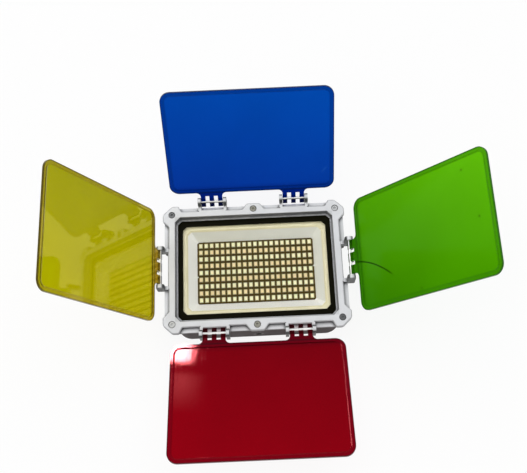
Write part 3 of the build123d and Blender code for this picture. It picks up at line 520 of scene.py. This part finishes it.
coil_finish, tree = blank_material("wound_coil")
place = object_place(tree)
height = split(tree, place)[2]
wire = calculate(tree, "PINGPONG", calculate(tree, "DIVIDE", height, wire_pitch), 0.5)
wound_low = coil_low.z + coil_flange
wound_high = coil_high.z - coil_flange
wound = calculate(tree, "MULTIPLY", spread(tree, height, wound_low - flange_fade, wound_low),
                  spread(tree, height, wound_high, wound_high - flange_fade))
grain = ripples(tree, place, 1800.0)
ferrite = two_tones(tree, grain, (0.035, 0.035, 0.037), (0.06, 0.06, 0.062))
# Painted shade: the copper is darker where the turns meet.
copper = mix_colours(tree, spread(tree, wire, 0.0, 0.35), (0.10, 0.03, 0.01), (0.50, 0.20, 0.08))
dress(finish_material(coil_finish, tree, {
    "Base Color": mix_colours(tree, wound, ferrite, copper),
    "Metallic": calculate(tree, "MULTIPLY", wound, 0.8), "Roughness": vary(tree, grain, 0.32, 0.5),
    "Normal": rounded_bump(tree, calculate(tree, "MULTIPLY", wound, wire), 0.0002, 0.6)}),
    "driver_coil")

can_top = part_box("driver_capacitors")[1].z
sleeve_top = can_top - 0.00075
can_lip = 0.00015

can_finish, tree = blank_material("capacitor_cans")
place = object_place(tree)
bare_top = spread(tree, split(tree, place)[2], sleeve_top, sleeve_top + can_lip)
brushing = ripples(tree, place, 1500.0)
sleeve = two_tones(tree, brushing, (0.02, 0.03, 0.06), (0.03, 0.045, 0.085))
dress(finish_material(can_finish, tree, {
    "Base Color": mix_colours(tree, bare_top, sleeve, (0.66, 0.66, 0.67)), "Metallic": bare_top,
    "Roughness": vary(tree, brushing, 0.28, 0.4),
    "Normal": rounded_bump(tree, brushing, 0.00005, 0.3)}), "driver_capacitors")
dress(plastic_material("chip_moulding", (0.018, 0.018, 0.019), (0.05, 0.05, 0.05), 0.55, 2400.0),
      "driver_chips")


# Charging socket in the top wall. A plated steel shell round a black tongue, behind a silicone cover
# that swings on a moulded strap, and a clear light pipe that shows the charge.
port_low, port_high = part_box("charging_port")
port_middle = (port_low + port_high) / 2.0
tongue_half_x = 0.00346
tongue_half_z = 0.00038
tongue_fade = 0.00004

socket_finish, tree = blank_material("plated_socket")
place = object_place(tree)
x, z = split(tree, place)[::2]
tongue = 1.0
for value, middle, half in ((x, port_middle.x, tongue_half_x), (z, port_middle.z, tongue_half_z)):
    off = calculate(tree, "ABSOLUTE", calculate(tree, "SUBTRACT", value, middle))
    tongue = calculate(tree, "MULTIPLY", tongue, spread(tree, off, half + tongue_fade, half))
plating = ripples(tree, place, 1400.0)
plated = two_tones(tree, plating, (0.55, 0.55, 0.56), (0.66, 0.66, 0.66))
dress(finish_material(socket_finish, tree, {
    "Base Color": mix_colours(tree, tongue, plated, (0.02, 0.02, 0.021)),
    "Metallic": calculate(tree, "SUBTRACT", 1.0, tongue), "Roughness": vary(tree, plating, 0.24, 0.36),
    "Normal": rounded_bump(tree, plating, 0.00003, 0.3)}), "charging_port")
cover_silicone = plastic_material("black_silicone", (0.020, 0.020, 0.021), (0.045, 0.045, 0.045),
                                  0.62, 2200.0, bump=0.35, sheen=0.2)
dress(cover_silicone, "port_cover")

pipe_finish, tree = blank_material("light_pipe")
haze = noise(tree, object_place(tree), 700.0)
dress(finish_material(pipe_finish, tree, {
    "Base Color": two_tones(tree, haze, (0.80, 0.84, 0.82), (0.88, 0.90, 0.89)),
    "Roughness": vary(tree, haze, 0.12, 0.25), "IOR": 1.49, "Transmission Weight": 0.85}),
    "charge_lens")


# Power button in the same wall. A round silicone-feel cap that stands out of its hole,
# pressed against a small switch on the driver board.
dress(plastic_material("button_cap", (0.030, 0.030, 0.032), (0.08, 0.08, 0.08), 0.48, 2600.0,
                       bump=0.35), "power_button")
dress(black_plastic, "power_switch")


# Back cover. A flat die-cast plate in the same paint as the tub, on a black cord seal,
# held by four countersunk steel screws.
dress(powder_coat("powder_coated_cover", {
    "Colour": (0.054, 0.043, 0.044), "Edge colour": (0.13, 0.12, 0.12),
    "Dust and shade colour": (0.07, 0.068, 0.064), "Gloss": 0.5, "Edge width": 0.0007, "Rubbing": 0.8,
    "Dust and shade": 0.3}), "back_cover")
dress(cover_silicone, "cover_seal")
dress(screw_steel, "cover_screws")


# LED board. A dark aluminium-core board on a grey heat pad, screwed to the floor of the tub.
# Copper lanes show faintly through the dark mask between the rows of LEDs.
led_columns = 21
led_rows = 9
led_width = 0.0028
led_length = 0.0035
led_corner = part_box("cool_leds")[1]
led_pitch_x = (led_corner.x - led_width / 2.0) / ((led_columns - 1) / 2.0)
led_pitch_y = (led_corner.y - led_length / 2.0) / ((led_rows - 1) / 2.0)

mask_finish, tree = blank_material("dark_led_board")
place = object_place(tree)
x, y = split(tree, place)[:2]
column_phase = calculate(tree, "PINGPONG", calculate(tree, "DIVIDE", x, led_pitch_x), 0.5)
row_phase = calculate(tree, "PINGPONG", calculate(tree, "DIVIDE", y, led_pitch_y), 0.5)
lane = calculate(tree, "MULTIPLY", spread(tree, row_phase, 0.36, 0.33),
                 spread(tree, column_phase, 0.46, 0.44))
speckle = noise(tree, place, 1500.0, 3.0)
speckled = spread(tree, speckle, 0.35, 0.65)
mask_tone = mix_colours(tree, speckled, (0.052, 0.033, 0.003), (0.068, 0.044, 0.004))
lane_tone = mix_colours(tree, speckled, (0.096, 0.062, 0.006), (0.128, 0.084, 0.008))
dress(finish_material(mask_finish, tree, {
    "Base Color": mix_colours(tree, lane, mask_tone, lane_tone), "Specular IOR Level": 0.1,
    "Roughness": vary(tree, speckle, 0.36, 0.5),
    "Normal": rounded_bump(tree, lane, 0.00004, 0.6, 0.0001)}), "led_board")
dress(plastic_material("heat_pad", (0.30, 0.30, 0.33), (0.36, 0.36, 0.38), 0.7, 900.0), "thermal_pad")
dress(screw_steel, "board_screws")
dress(red_lead, "led_leads")


# LEDs. Small cream packages in 21 columns: five rows of cool white with four rows of warm white between.
# The packages are CAD nodes, and each shallow cup is filled with cast phosphor that dips in the middle.
def led_tone(tree, amount):
    """One value for each LED, because no two come out of the tray quite alike."""
    x, y = split(tree, object_place(tree))[:2]
    column = calculate(tree, "ROUND", calculate(tree, "DIVIDE", x, led_pitch_x))
    row = calculate(tree, "ROUND", calculate(tree, "DIVIDE", y, led_pitch_y))
    pair = add(tree, "CombineXYZ", {0: column, 1: row}).outputs[0]
    chance = add(tree, "TexWhiteNoise", {"Vector": pair}, noise_dimensions="3D").outputs["Value"]
    return spread(tree, chance, 0.0, 1.0, 1.0 - amount, 1.0 + amount)


def led_material(name, colour, amount, gloss, scatter):
    """Cream plastic or phosphor with its own tone on each LED."""
    material, tree = blank_material(name)
    fine = noise(tree, object_place(tree), 4000.0)
    grainy = tint(tree, colour, vary(tree, fine, 0.96, 1.03))
    return finish_material(material, tree, {
        "Base Color": tint(tree, grainy, led_tone(tree, amount)),
        "Roughness": vary(tree, fine, gloss - 0.04, gloss + 0.04),
        "Subsurface Weight": scatter, "Subsurface Scale": 0.0004, "Specular IOR Level": 0.2,
        "Normal": rounded_bump(tree, fine, 0.00002, 0.3, 0.0001)})


def phosphor_fills(name, rows, material):
    """The cast phosphor in the cups of some rows of LEDs, as one mesh of small pillows."""
    half_x = 0.00108
    half_y = 0.00143
    corner = 0.00035
    # Each ring has a share of the outline's size and a depth below the top of the package.
    rings = [(1.0, 0.00011), (1.0, 0.00003), (0.94, 0.000045), (0.7, 0.00007), (0.35, 0.000078)]
    middle_dip = 0.00008
    outline = []
    for way_x, way_y, start in ((1, 1, 0.0), (-1, 1, 90.0), (-1, -1, 180.0), (1, -1, 270.0)):
        for step in range(4):
            angle = math.radians(start + step * 30.0)
            outline.append((way_x * (half_x - corner) + corner * math.cos(angle),
                            way_y * (half_y - corner) + corner * math.sin(angle)))
    sides = [(i, (i + 1) % len(outline)) for i in range(len(outline))]
    last_column = led_columns // 2
    mesh_build = bmesh.new()
    for row in rows:
        for column in range(-last_column, last_column + 1):
            middle = Vector((column * led_pitch_x, row * led_pitch_y, led_corner.z))
            loops = [[mesh_build.verts.new(middle + Vector((x * share, y * share, -dip)))
                      for x, y in outline] for share, dip in rings]
            lowest = mesh_build.verts.new(middle - Vector((0.0, 0.0, middle_dip)))
            mesh_build.faces.new(list(reversed(loops[0])))
            for low, high in zip(loops, loops[1:]):
                for i, j in sides:
                    mesh_build.faces.new((low[i], low[j], high[j], high[i]))
            for i, j in sides:
                mesh_build.faces.new((loops[-1][i], loops[-1][j], lowest))
    mesh = bpy.data.meshes.new(name)
    mesh_build.to_mesh(mesh)
    mesh_build.free()
    mesh.polygons.foreach_set("use_smooth", [True] * len(mesh.polygons))
    mesh.materials.append(material)
    piece = put_in_scene(name, mesh)
    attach(piece, "root")


dress(led_material("cool_led_package", (0.50, 0.46, 0.26), 0.03, 0.35, 0.1), "cool_leds")
dress(led_material("warm_led_package", (0.48, 0.38, 0.20), 0.03, 0.35, 0.1), "warm_leds")
phosphor_fills("cool_phosphor", (-4, -2, 0, 2, 4),
               led_material("cool_phosphor", (0.985, 0.90, 0.58), 0.04, 0.28, 0.2))
phosphor_fills("warm_phosphor", (-3, -1, 1, 3),
               led_material("warm_phosphor", (0.93, 0.74, 0.41), 0.05, 0.28, 0.2))


# Reflector. A thin white moulding that slopes down to the board, with a flat rim under the glass.
# The rim has yellowed to cream, and the slopes are satin white with faint draw marks.
tray_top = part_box("reflector_tray")[1].z
rim_depth = 0.0014
rim_fade = 0.0005

reflector_finish, tree = blank_material("white_reflector")
coords = add(tree, "TexCoord").outputs
place = coords["Object"]
facing_x, facing_y = split(tree, coords["Normal"])[:2]
rim = spread(tree, split(tree, place)[2], tray_top - rim_depth, tray_top - rim_depth + rim_fade)
cloudy = spread(tree, noise(tree, place, 80.0, 5.0), 0.35, 0.65)
drawn = add(tree, "VectorMath", {0: place, 1: (1.0, 1.0, 0.1)}, operation="MULTIPLY").outputs[0]
draws = noise(tree, drawn, 900.0)
slope_tone = mix_colours(tree, cloudy, (0.80, 0.805, 0.745), (0.84, 0.845, 0.785))
rim_tone = mix_colours(tree, cloudy, (0.82, 0.76, 0.50), (0.88, 0.82, 0.56))
# Painted light: the slopes facing +X and those facing +Y are mixed towards near white.
painted_light_side = calculate(tree, "MAXIMUM", spread(tree, facing_x, 0.1, 0.35),
                        spread(tree, facing_y, 0.1, 0.35))
slope_tone = mix_colours(tree, calculate(tree, "MULTIPLY", painted_light_side, 0.9), slope_tone,
                         (0.985, 0.975, 0.95))
dress(finish_material(reflector_finish, tree, {
    "Base Color": mix_colours(tree, rim, slope_tone, rim_tone),
    "Roughness": vary(tree, draws, 0.34, 0.46),
    "Normal": rounded_bump(tree, draws, 0.00003, 0.35, 0.0003)}), "reflector_tray")


# Seal and glass. A black silicone channel grips the edge of a flat sheet of clear glass.
# The glass has a few specks of dust and faint wiping marks.
def sheet_surface_group():
    """The skin of a clear sheet: dust specks, fine scratches and faint clouds."""
    group, given, result = start_group(
        "sheet_surface", {"Colour": white, "Speck colour": white, "Clouding": 0.04, "Gloss": 0.03,
                          "Specks": 0.5}, surface_outputs)
    place = object_place(group)
    dust = add(group, "TexVoronoi", {"Vector": place, "Scale": 130.0, "Randomness": 1.0}).outputs
    chance = add(group, "TexWhiteNoise", {"Vector": dust["Position"]}, noise_dimensions="3D")
    speck = calculate(group, "MULTIPLY", spread(group, dust["Distance"], 0.07, 0.045),
                      spread(group, chance.outputs["Value"], 0.86, 0.90))
    speck = calculate(group, "MULTIPLY", speck, given["Specks"])
    drawn = add(group, "VectorMath", {0: place, 1: (1.0, 0.06, 0.06)}, operation="MULTIPLY")
    wipes = noise(group, drawn.outputs[0], 1300.0)
    cloud = spread(group, noise(group, place, 14.0, 3.0), 0.35, 0.65,
                   calculate(group, "SUBTRACT", 1.0, given["Clouding"]),
                   calculate(group, "ADD", 1.0, given["Clouding"]))
    toned = tint(group, given["Colour"], cloud)
    rough = calculate(group, "MULTIPLY", spread(group, wipes, 0.62, 0.75), 0.05)
    rough = calculate(group, "MULTIPLY_ADD", speck, 0.4, rough)
    fill_inputs(group, result, {"Colour": mix_colours(group, speck, toned, given["Speck colour"]),
                                "Roughness": calculate(group, "ADD", rough, given["Gloss"]),
                                "Height": wipes})
    return group


sheet_surface = sheet_surface_group()


def finish_clear_sheet(material, tree, inputs, through):
    """Gives a clear sheet its surface. Lamps and the room shine through it, with a tint."""
    path = add(tree, "LightPath").outputs
    light_ray = calculate(tree, "MAXIMUM", path["Is Shadow Ray"], path["Is Diffuse Ray"])
    shader = add(tree, "BsdfPrincipled", inputs)
    clear = add(tree, "BsdfTransparent", {"Color": through})
    add(tree, "OutputMaterial", {"Surface": mix_shaders(tree, light_ray, shader, clear).outputs[0]})
    return material


dress(plastic_material("glass_seal_silicone", (0.0048, 0.0044, 0.0012), (0.008, 0.0075, 0.005), 0.5,
                       2000.0, specular=0.03), "glass_seal")

glass_finish, tree = blank_material("clear_float_glass")
skin = add(tree, "Group", {"Colour": (0.985, 0.99, 0.98), "Speck colour": (0.7, 0.7, 0.68),
                           "Clouding": 0.01, "Gloss": 0.0, "Specks": 0.3},
           node_tree=sheet_surface).outputs
dress(finish_clear_sheet(glass_finish, tree, {
    "Base Color": skin["Colour"], "Roughness": skin["Roughness"], "IOR": 1.3,
    "Transmission Weight": 1.0, "Specular IOR Level": 0.2}, (0.998, 0.997, 0.99)), "front_glass")


# Bezel. The die-cast front frame in fine satin silver paint, with hinge ears on all four sides.
# Six round-headed socket screws in deep counterbores hold it on the tub.
bezel_half_x = 0.0700
bezel_half_y = 0.0495
window_half_x = 0.0605
window_half_y = 0.0403
bezel_face = 0.0460
edge_step = 0.0002
wall_top = bezel_face - edge_step
brow_height = bezel_face - 0.0007
wall_shade_grey = (0.055, 0.060, 0.058)

# The near-black corner colour of this paint is painted shade in the recesses and at the foot of each wall, not
# dust.
bezel_paint, tree = blank_material("satin_silver_paint")
paint = add(tree, "Group", {
    "Colour": (0.66, 0.67, 0.69), "Edge colour": (0.78, 0.79, 0.80),
    "Dust and shade colour": (0.05, 0.05, 0.053), "Pebble scale": 2600.0, "Gloss": 0.38, "Edge width": 0.0012,
    "Corner width": 0.0024, "Rubbing": 0.4, "Dust and shade": 0.95}, node_tree=cast_paint).outputs
coords = add(tree, "TexCoord").outputs
x, y, z = split(tree, coords["Object"])
facing_y, facing_z = split(tree, coords["Normal"])[1:]
from_x = calculate(tree, "ABSOLUTE", x)
from_y = calculate(tree, "ABSOLUTE", y)
in_window = 1.0
on_ear = spread(tree, z, bezel_face, bezel_face + 2.0 * edge_step)
for value, window_half, bezel_half in ((from_x, window_half_x, bezel_half_x),
                                       (from_y, window_half_y, bezel_half_y)):
    window_edge = window_half + edge_step / 2.0
    within = spread(tree, value, window_edge + edge_step, window_edge)
    in_window = calculate(tree, "MULTIPLY", in_window, within)
    beyond = spread(tree, value, bezel_half - edge_step, bezel_half + edge_step)
    on_ear = calculate(tree, "MAXIMUM", on_ear, beyond)
# Painted shade: the outer side walls and the sides of the ears turn grey the more steeply they face.
flatness = calculate(tree, "ABSOLUTE", facing_z)
outer_wall_shade = calculate(tree, "MULTIPLY", spread(tree, flatness, 0.92, 0.4, 0.0, 0.78),
                       calculate(tree, "SUBTRACT", 1.0, in_window))
ear_side_shade = calculate(tree, "MULTIPLY", spread(tree, flatness, 0.97, 0.75, 0.0, 0.97), on_ear)
wall_shade_mask = calculate(tree, "MAXIMUM", outer_wall_shade, ear_side_shade)
toned = mix_colours(tree, wall_shade_mask, paint["Colour"], wall_shade_grey)
# Painted shade: a grey line runs round the window walls just under the brow.
from_brow = calculate(tree, "ABSOLUTE", calculate(tree, "SUBTRACT", z, brow_height))
brow_shade_line = calculate(tree, "MULTIPLY", in_window, spread(tree, from_brow, 0.0008, 0.0004, 0.0, 0.6))
toned = mix_colours(tree, brow_shade_line, toned, wall_shade_grey)
# Painted shade: the walls inside the window go dark grey, darkest where they face -Y.
below_face = spread(tree, z, wall_top, wall_top - 0.0003)
window_wall = calculate(tree, "MULTIPLY", in_window, below_face)
shade = spread(tree, facing_y, -0.3, -0.8, 0.35, 0.75)
shaded = calculate(tree, "MULTIPLY", window_wall, shade)
dress(finish_material(bezel_paint, tree, {
    "Base Color": mix_colours(tree, shaded, toned, (0.08, 0.08, 0.085)), "Metallic": 0.08,
    "Roughness": paint["Roughness"], "Specular IOR Level": 0.12,
    "Normal": rounded_bump(tree, paint["Height"], 0.00006, 0.35, 0.0003)}), "bezel_frame")

corner_screw = (0.063, 0.0425)
middle_screw = (0.0, 0.045)
head_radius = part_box("bezel_screws")[1].x - corner_screw[0]

screw_finish, tree = blank_material("bezel_screw_steel")
look = metal_look(tree, (0.95, 0.95, 0.95), (0.82, 0.82, 0.82), (1.0, 1.0, 0.4), 0.36, 1500.0)
x, y = split(tree, object_place(tree))[:2]
from_x = calculate(tree, "ABSOLUTE", x)
from_y = calculate(tree, "ABSOLUTE", y)
# Painted reflections: the corner screws are dark on one diagonal and light on the other, and the middle pair
# brownish. A darker ring runs near the rim of each head.
corner_sign = spread(tree, calculate(tree, "MULTIPLY", x, y), -0.002, 0.002)
corner_reflection_tone = mix_colours(tree, corner_sign, (0.15, 0.155, 0.16), (0.62, 0.63, 0.64))
middle_pair = spread(tree, from_x, 0.02, 0.01)
painted_screw_tone = mix_colours(tree, middle_pair, corner_reflection_tone, (0.33, 0.32, 0.27))
radii = [radius_of(tree, calculate(tree, "SUBTRACT", from_x, screw_x),
                   calculate(tree, "SUBTRACT", from_y, screw_y))
         for screw_x, screw_y in (corner_screw, middle_screw)]
head_rim = spread(tree, calculate(tree, "MINIMUM", *radii), head_radius - 0.0006,
                  head_radius - 0.0002, 0.0, 0.5)
painted_screw_tone = mix_colours(tree, head_rim, painted_screw_tone, (0.07, 0.07, 0.07))
look["Base Color"] = tint(tree, look["Base Color"], painted_screw_tone)
look["Metallic"] = 0.3
dress(finish_material(screw_finish, tree, look), "bezel_screws")


# Hinge bars. Drawn steel rods pressed into the ears, two short ones on each long side
# and one longer one on each short side. Their sides are darkened as a painted reflection, which leaves them bright
# along the top.
def bar_steel(name, stretch):
    """Drawn steel, bright along the top and darkened at the sides as a painted reflection."""
    material, tree = blank_material(name)
    look = metal_look(tree, (0.92, 0.92, 0.91), (0.80, 0.80, 0.79), stretch, 0.3, 2600.0)
    facing_z = split(tree, add(tree, "TexCoord").outputs["Normal"])[2]
    # Painted reflection: faces that turn away from straight up go near black.
    side_shade = spread(tree, calculate(tree, "ABSOLUTE", facing_z), 0.78, 0.5, 0.0, 0.92)
    look["Base Color"] = mix_colours(tree, side_shade, look["Base Color"], (0.035, 0.032, 0.030))
    look["Metallic"] = 0.12
    return finish_material(material, tree, look)


dress(bar_steel("drawn_steel_along", (0.05, 1.0, 1.0)), "blue_hinge_bars", "red_hinge_bars")
dress(bar_steel("drawn_steel_across", (1.0, 0.05, 1.0)), "yellow_hinge_bars", "green_hinge_bars")


# Filters. Four flat sheets of clear coloured plastic, moulded with a thicker band round the edge
# and one or two slotted tabs that clip on the bars. They are glossy, with dust and fine scratches.
long_sheet = (0.0628, 0.0425)
short_sheet = (0.0425, 0.0628)
sheet_corner = 0.0075
tab_reach = 0.0084
band_step = 0.0030
hinge_joints = {joint["name"]: joint for joint in frame["joints"]}


def sheet_place_group():
    """Where a point lies on a moulded sheet: along the hinge, out from it, and how near its edge."""
    group, given, result = start_group(
        "sheet_place", {"Location": Vector((0.0, 0.0, 0.0)), "Rotation": Vector((0.0, 0.0, 0.0)),
                        "Half size": Vector((0.1, 0.1, 0.0))},
        {name: float for name in ("Along", "Out", "Inset", "Edge", "Clip", "Finger shade")})
    coords = add(group, "TexCoord").outputs
    turned = add(group, "Mapping", {"Vector": coords["Object"], "Location": given["Location"],
                                    "Rotation": given["Rotation"]}).outputs[0]
    facing = add(group, "Mapping", {"Vector": coords["Normal"],
                                    "Rotation": given["Rotation"]}).outputs[0]
    along, out = split(group, turned)[:2]
    half_along, half_out = split(group, given["Half size"])[:2]
    middle = calculate(group, "ADD", half_out, tab_reach)
    reach = []
    for value, limit in ((along, half_along), (calculate(group, "SUBTRACT", out, middle), half_out)):
        past = calculate(group, "SUBTRACT", calculate(group, "ABSOLUTE", value), limit)
        reach.append(calculate(group, "MAXIMUM", calculate(group, "ADD", past, sheet_corner), 0.0))
    inset = calculate(group, "SUBTRACT", sheet_corner, radius_of(group, *reach))
    outline = spread(group, calculate(group, "ABSOLUTE", inset), 0.0006, 0.0003)
    flatness = calculate(group, "ABSOLUTE", split(group, facing)[2])
    side = spread(group, flatness, 0.8, 0.4)
    fill_inputs(group, result, {
        "Along": along, "Out": out, "Inset": inset,
        "Edge": calculate(group, "MAXIMUM", outline, side),
        "Clip": spread(group, out, tab_reach + 0.0002, tab_reach - 0.0004),
        "Finger shade": spread(group, out, 0.0010, -0.0008)})
    return group


sheet_place = sheet_place_group()


def sheet_frame(colour_name, half_size):
    """The values that turn a point of an open filter into its place on the flat sheet."""
    joint = hinge_joints[colour_name + "_filter_hinge"]
    along = -Vector(joint["axis"])
    hinge_place = Vector(joint["pos_m"])
    rest = math.radians(180.0 + joint["range_deg"][0])
    flat_out = Vector((0.0, 0.0, 1.0)).cross(along)
    out = flat_out * math.cos(rest) + Vector((0.0, 0.0, math.sin(rest)))
    turn = Matrix((along, out, along.cross(out)))
    return {"Location": -(turn @ hinge_place), "Rotation": turn.to_euler(),
            "Half size": (*half_size, 0.0)}


def round_mark(tree, sheet, along, out, radius):
    """A mask of a small round mark at a place on the sheet."""
    away = radius_of(tree, calculate(tree, "SUBTRACT", sheet["Along"], along),
                     calculate(tree, "SUBTRACT", sheet["Out"], out))
    return smooth_step(tree, away, radius * 1.5, radius * 0.5)


def line_mark(tree, sheet, bend, start, end, width):
    """A mask of a thin line that runs outward, bent as a parabola, and thins at both ends."""
    out = sheet["Out"]
    slope = calculate(tree, "MULTIPLY_ADD", out, bend[0], bend[1])
    place = calculate(tree, "MULTIPLY_ADD", out, slope, bend[2])
    away = calculate(tree, "ABSOLUTE", calculate(tree, "SUBTRACT", sheet["Along"], place))
    run = calculate(tree, "MULTIPLY", smooth_step(tree, out, start, start + 0.008),
                    smooth_step(tree, out, end, end - 0.005))
    return calculate(tree, "MULTIPLY", run, spread(tree, away, width, width * 0.3))


def green_marks(tree, sheet):
    """One long thin dark bent line and a few dark specks."""
    mask = line_mark(tree, sheet, (9.50, 0.0282, 0.00441), 0.0015, 0.0435, 0.0007)
    mask = calculate(tree, "MULTIPLY", mask, 0.95)
    for along, out, radius in ((0.0027, 0.1215, 0.0007), (-0.0317, 0.1120, 0.0007),
                               (0.0373, 0.0670, 0.0006)):
        speck = calculate(tree, "MULTIPLY", round_mark(tree, sheet, along, out, radius), 0.7)
        mask = calculate(tree, "MAXIMUM", mask, speck)
    return mask, (0.001, 0.02, 0.0)


def blue_marks(tree, sheet):
    """One short light scuff near a corner."""
    mask = line_mark(tree, sheet, (0.0, 0.9, 0.0333), 0.0205, 0.0280, 0.0010)
    return calculate(tree, "MULTIPLY", mask, 0.7), (0.03, 0.17, 0.60)


def filter_material(colour_name, half_size, near_colour, far_colour, slope, edge_colours, shine,
                    through, gloss=0.03, ior=1.49, marks=None):
    """Clear coloured plastic of one hue, a little deeper in tone towards one corner. The clip fingers are mixed to
    near black, a painted shade.
    """
    material, tree = blank_material(colour_name + "_sheet")
    sheet = add(tree, "Group", sheet_frame(colour_name, half_size), node_tree=sheet_place).outputs
    from_middle = calculate(tree, "SUBTRACT", sheet["Out"], half_size[1] + tab_reach)
    tilt = calculate(tree, "MULTIPLY", from_middle, slope[1] / half_size[1])
    tilt = calculate(tree, "MULTIPLY_ADD", sheet["Along"], slope[0] / half_size[0], tilt)
    near_hinge = spread(tree, sheet["Out"], 0.0150, 0.0110)
    band = smooth_step(tree, sheet["Inset"], band_step + 0.0004, band_step - 0.0008)
    from_step = calculate(tree, "ABSOLUTE", calculate(tree, "SUBTRACT", sheet["Inset"], band_step))
    step_line = spread(tree, from_step, 0.0006, 0.0001)
    toned = mix_colours(tree, spread(tree, tilt, -1.0, 1.0), near_colour, far_colour)
    # Painted shade: the fingers of the clips are mixed to near black.
    for mask, strength, part in ((near_hinge, 0.6, "hinge"), (band, 0.55, "band"),
                                 (step_line, 0.45, "line"), (sheet["Clip"], 0.8, "hinge"),
                                 (sheet["Edge"], 0.85, "edge"), (sheet["Finger shade"], 0.9, "finger shade")):
        toned = mix_colours(tree, calculate(tree, "MULTIPLY", mask, strength), toned,
                            edge_colours[part])
    if marks is not None:
        mask, mark_colour = marks(tree, sheet)
        toned = mix_colours(tree, mask, toned, mark_colour)
    skin = add(tree, "Group", {"Colour": toned, "Speck colour": shine, "Clouding": 0.05,
                               "Gloss": gloss, "Specks": 0.3}, node_tree=sheet_surface).outputs
    height = calculate(tree, "MULTIPLY_ADD", skin["Height"], 0.02, band)
    bump = add(tree, "Bump", {"Height": height, "Distance": 0.00028, "Strength": 1.0})
    return finish_clear_sheet(material, tree, {
        "Base Color": skin["Colour"], "Roughness": skin["Roughness"], "IOR": ior,
        "Transmission Weight": 0.85, "Specular IOR Level": 0.1, "Specular Tint": shine,
        "Normal": bump.outputs["Normal"]}, through)


dress(filter_material(
    "blue", long_sheet, (0.0003, 0.036, 0.35), (0.0003, 0.072, 0.44), (0.2, 0.8),
    {"hinge": (0.0, 0.012, 0.20), "band": (0.0, 0.022, 0.20), "line": (0.0, 0.02, 0.18),
     "edge": (0.004, 0.010, 0.055), "finger shade": (0.003, 0.004, 0.016)},
    (0.02, 0.2, 1.0), (0.01, 0.10, 0.60), ior=1.34, marks=blue_marks), "blue_filter")
dress(filter_material(
    "yellow", short_sheet, (0.52, 0.46, 0.0005), (0.46, 0.44, 0.001), (0.7, 0.3),
    {"hinge": (0.36, 0.22, 0.006), "band": (0.38, 0.27, 0.012), "line": (0.28, 0.24, 0.001),
     "edge": (0.07, 0.035, 0.004), "finger shade": (0.07, 0.035, 0.004)},
    (1.0, 0.9, 0.08), (0.75, 0.68, 0.05), gloss=0.032, ior=1.62), "yellow_filter")
dress(filter_material(
    "red", long_sheet, (0.185, 0.0002, 0.005), (0.345, 0.0002, 0.0065), (0.25, 0.5),
    {"hinge": (0.12, 0.001, 0.007), "band": (0.16, 0.0005, 0.008), "line": (0.10, 0.0, 0.004),
     "edge": (0.045, 0.006, 0.010), "finger shade": (0.045, 0.006, 0.010)},
    (1.0, 0.2, 0.22), (0.55, 0.01, 0.03)), "red_filter")
dress(filter_material(
    "green", short_sheet, (0.044, 0.250, 0.0002), (0.125, 0.52, 0.0006), (-0.7, 0.45),
    {"hinge": (0.03, 0.19, 0.0005), "band": (0.04, 0.24, 0.002), "line": (0.015, 0.15, 0.0),
     "edge": (0.012, 0.07, 0.006), "finger shade": (0.008, 0.04, 0.006)},
    (0.15, 1.0, 0.03), (0.16, 0.55, 0.01), gloss=0.11, ior=1.24, marks=green_marks), "green_filter")
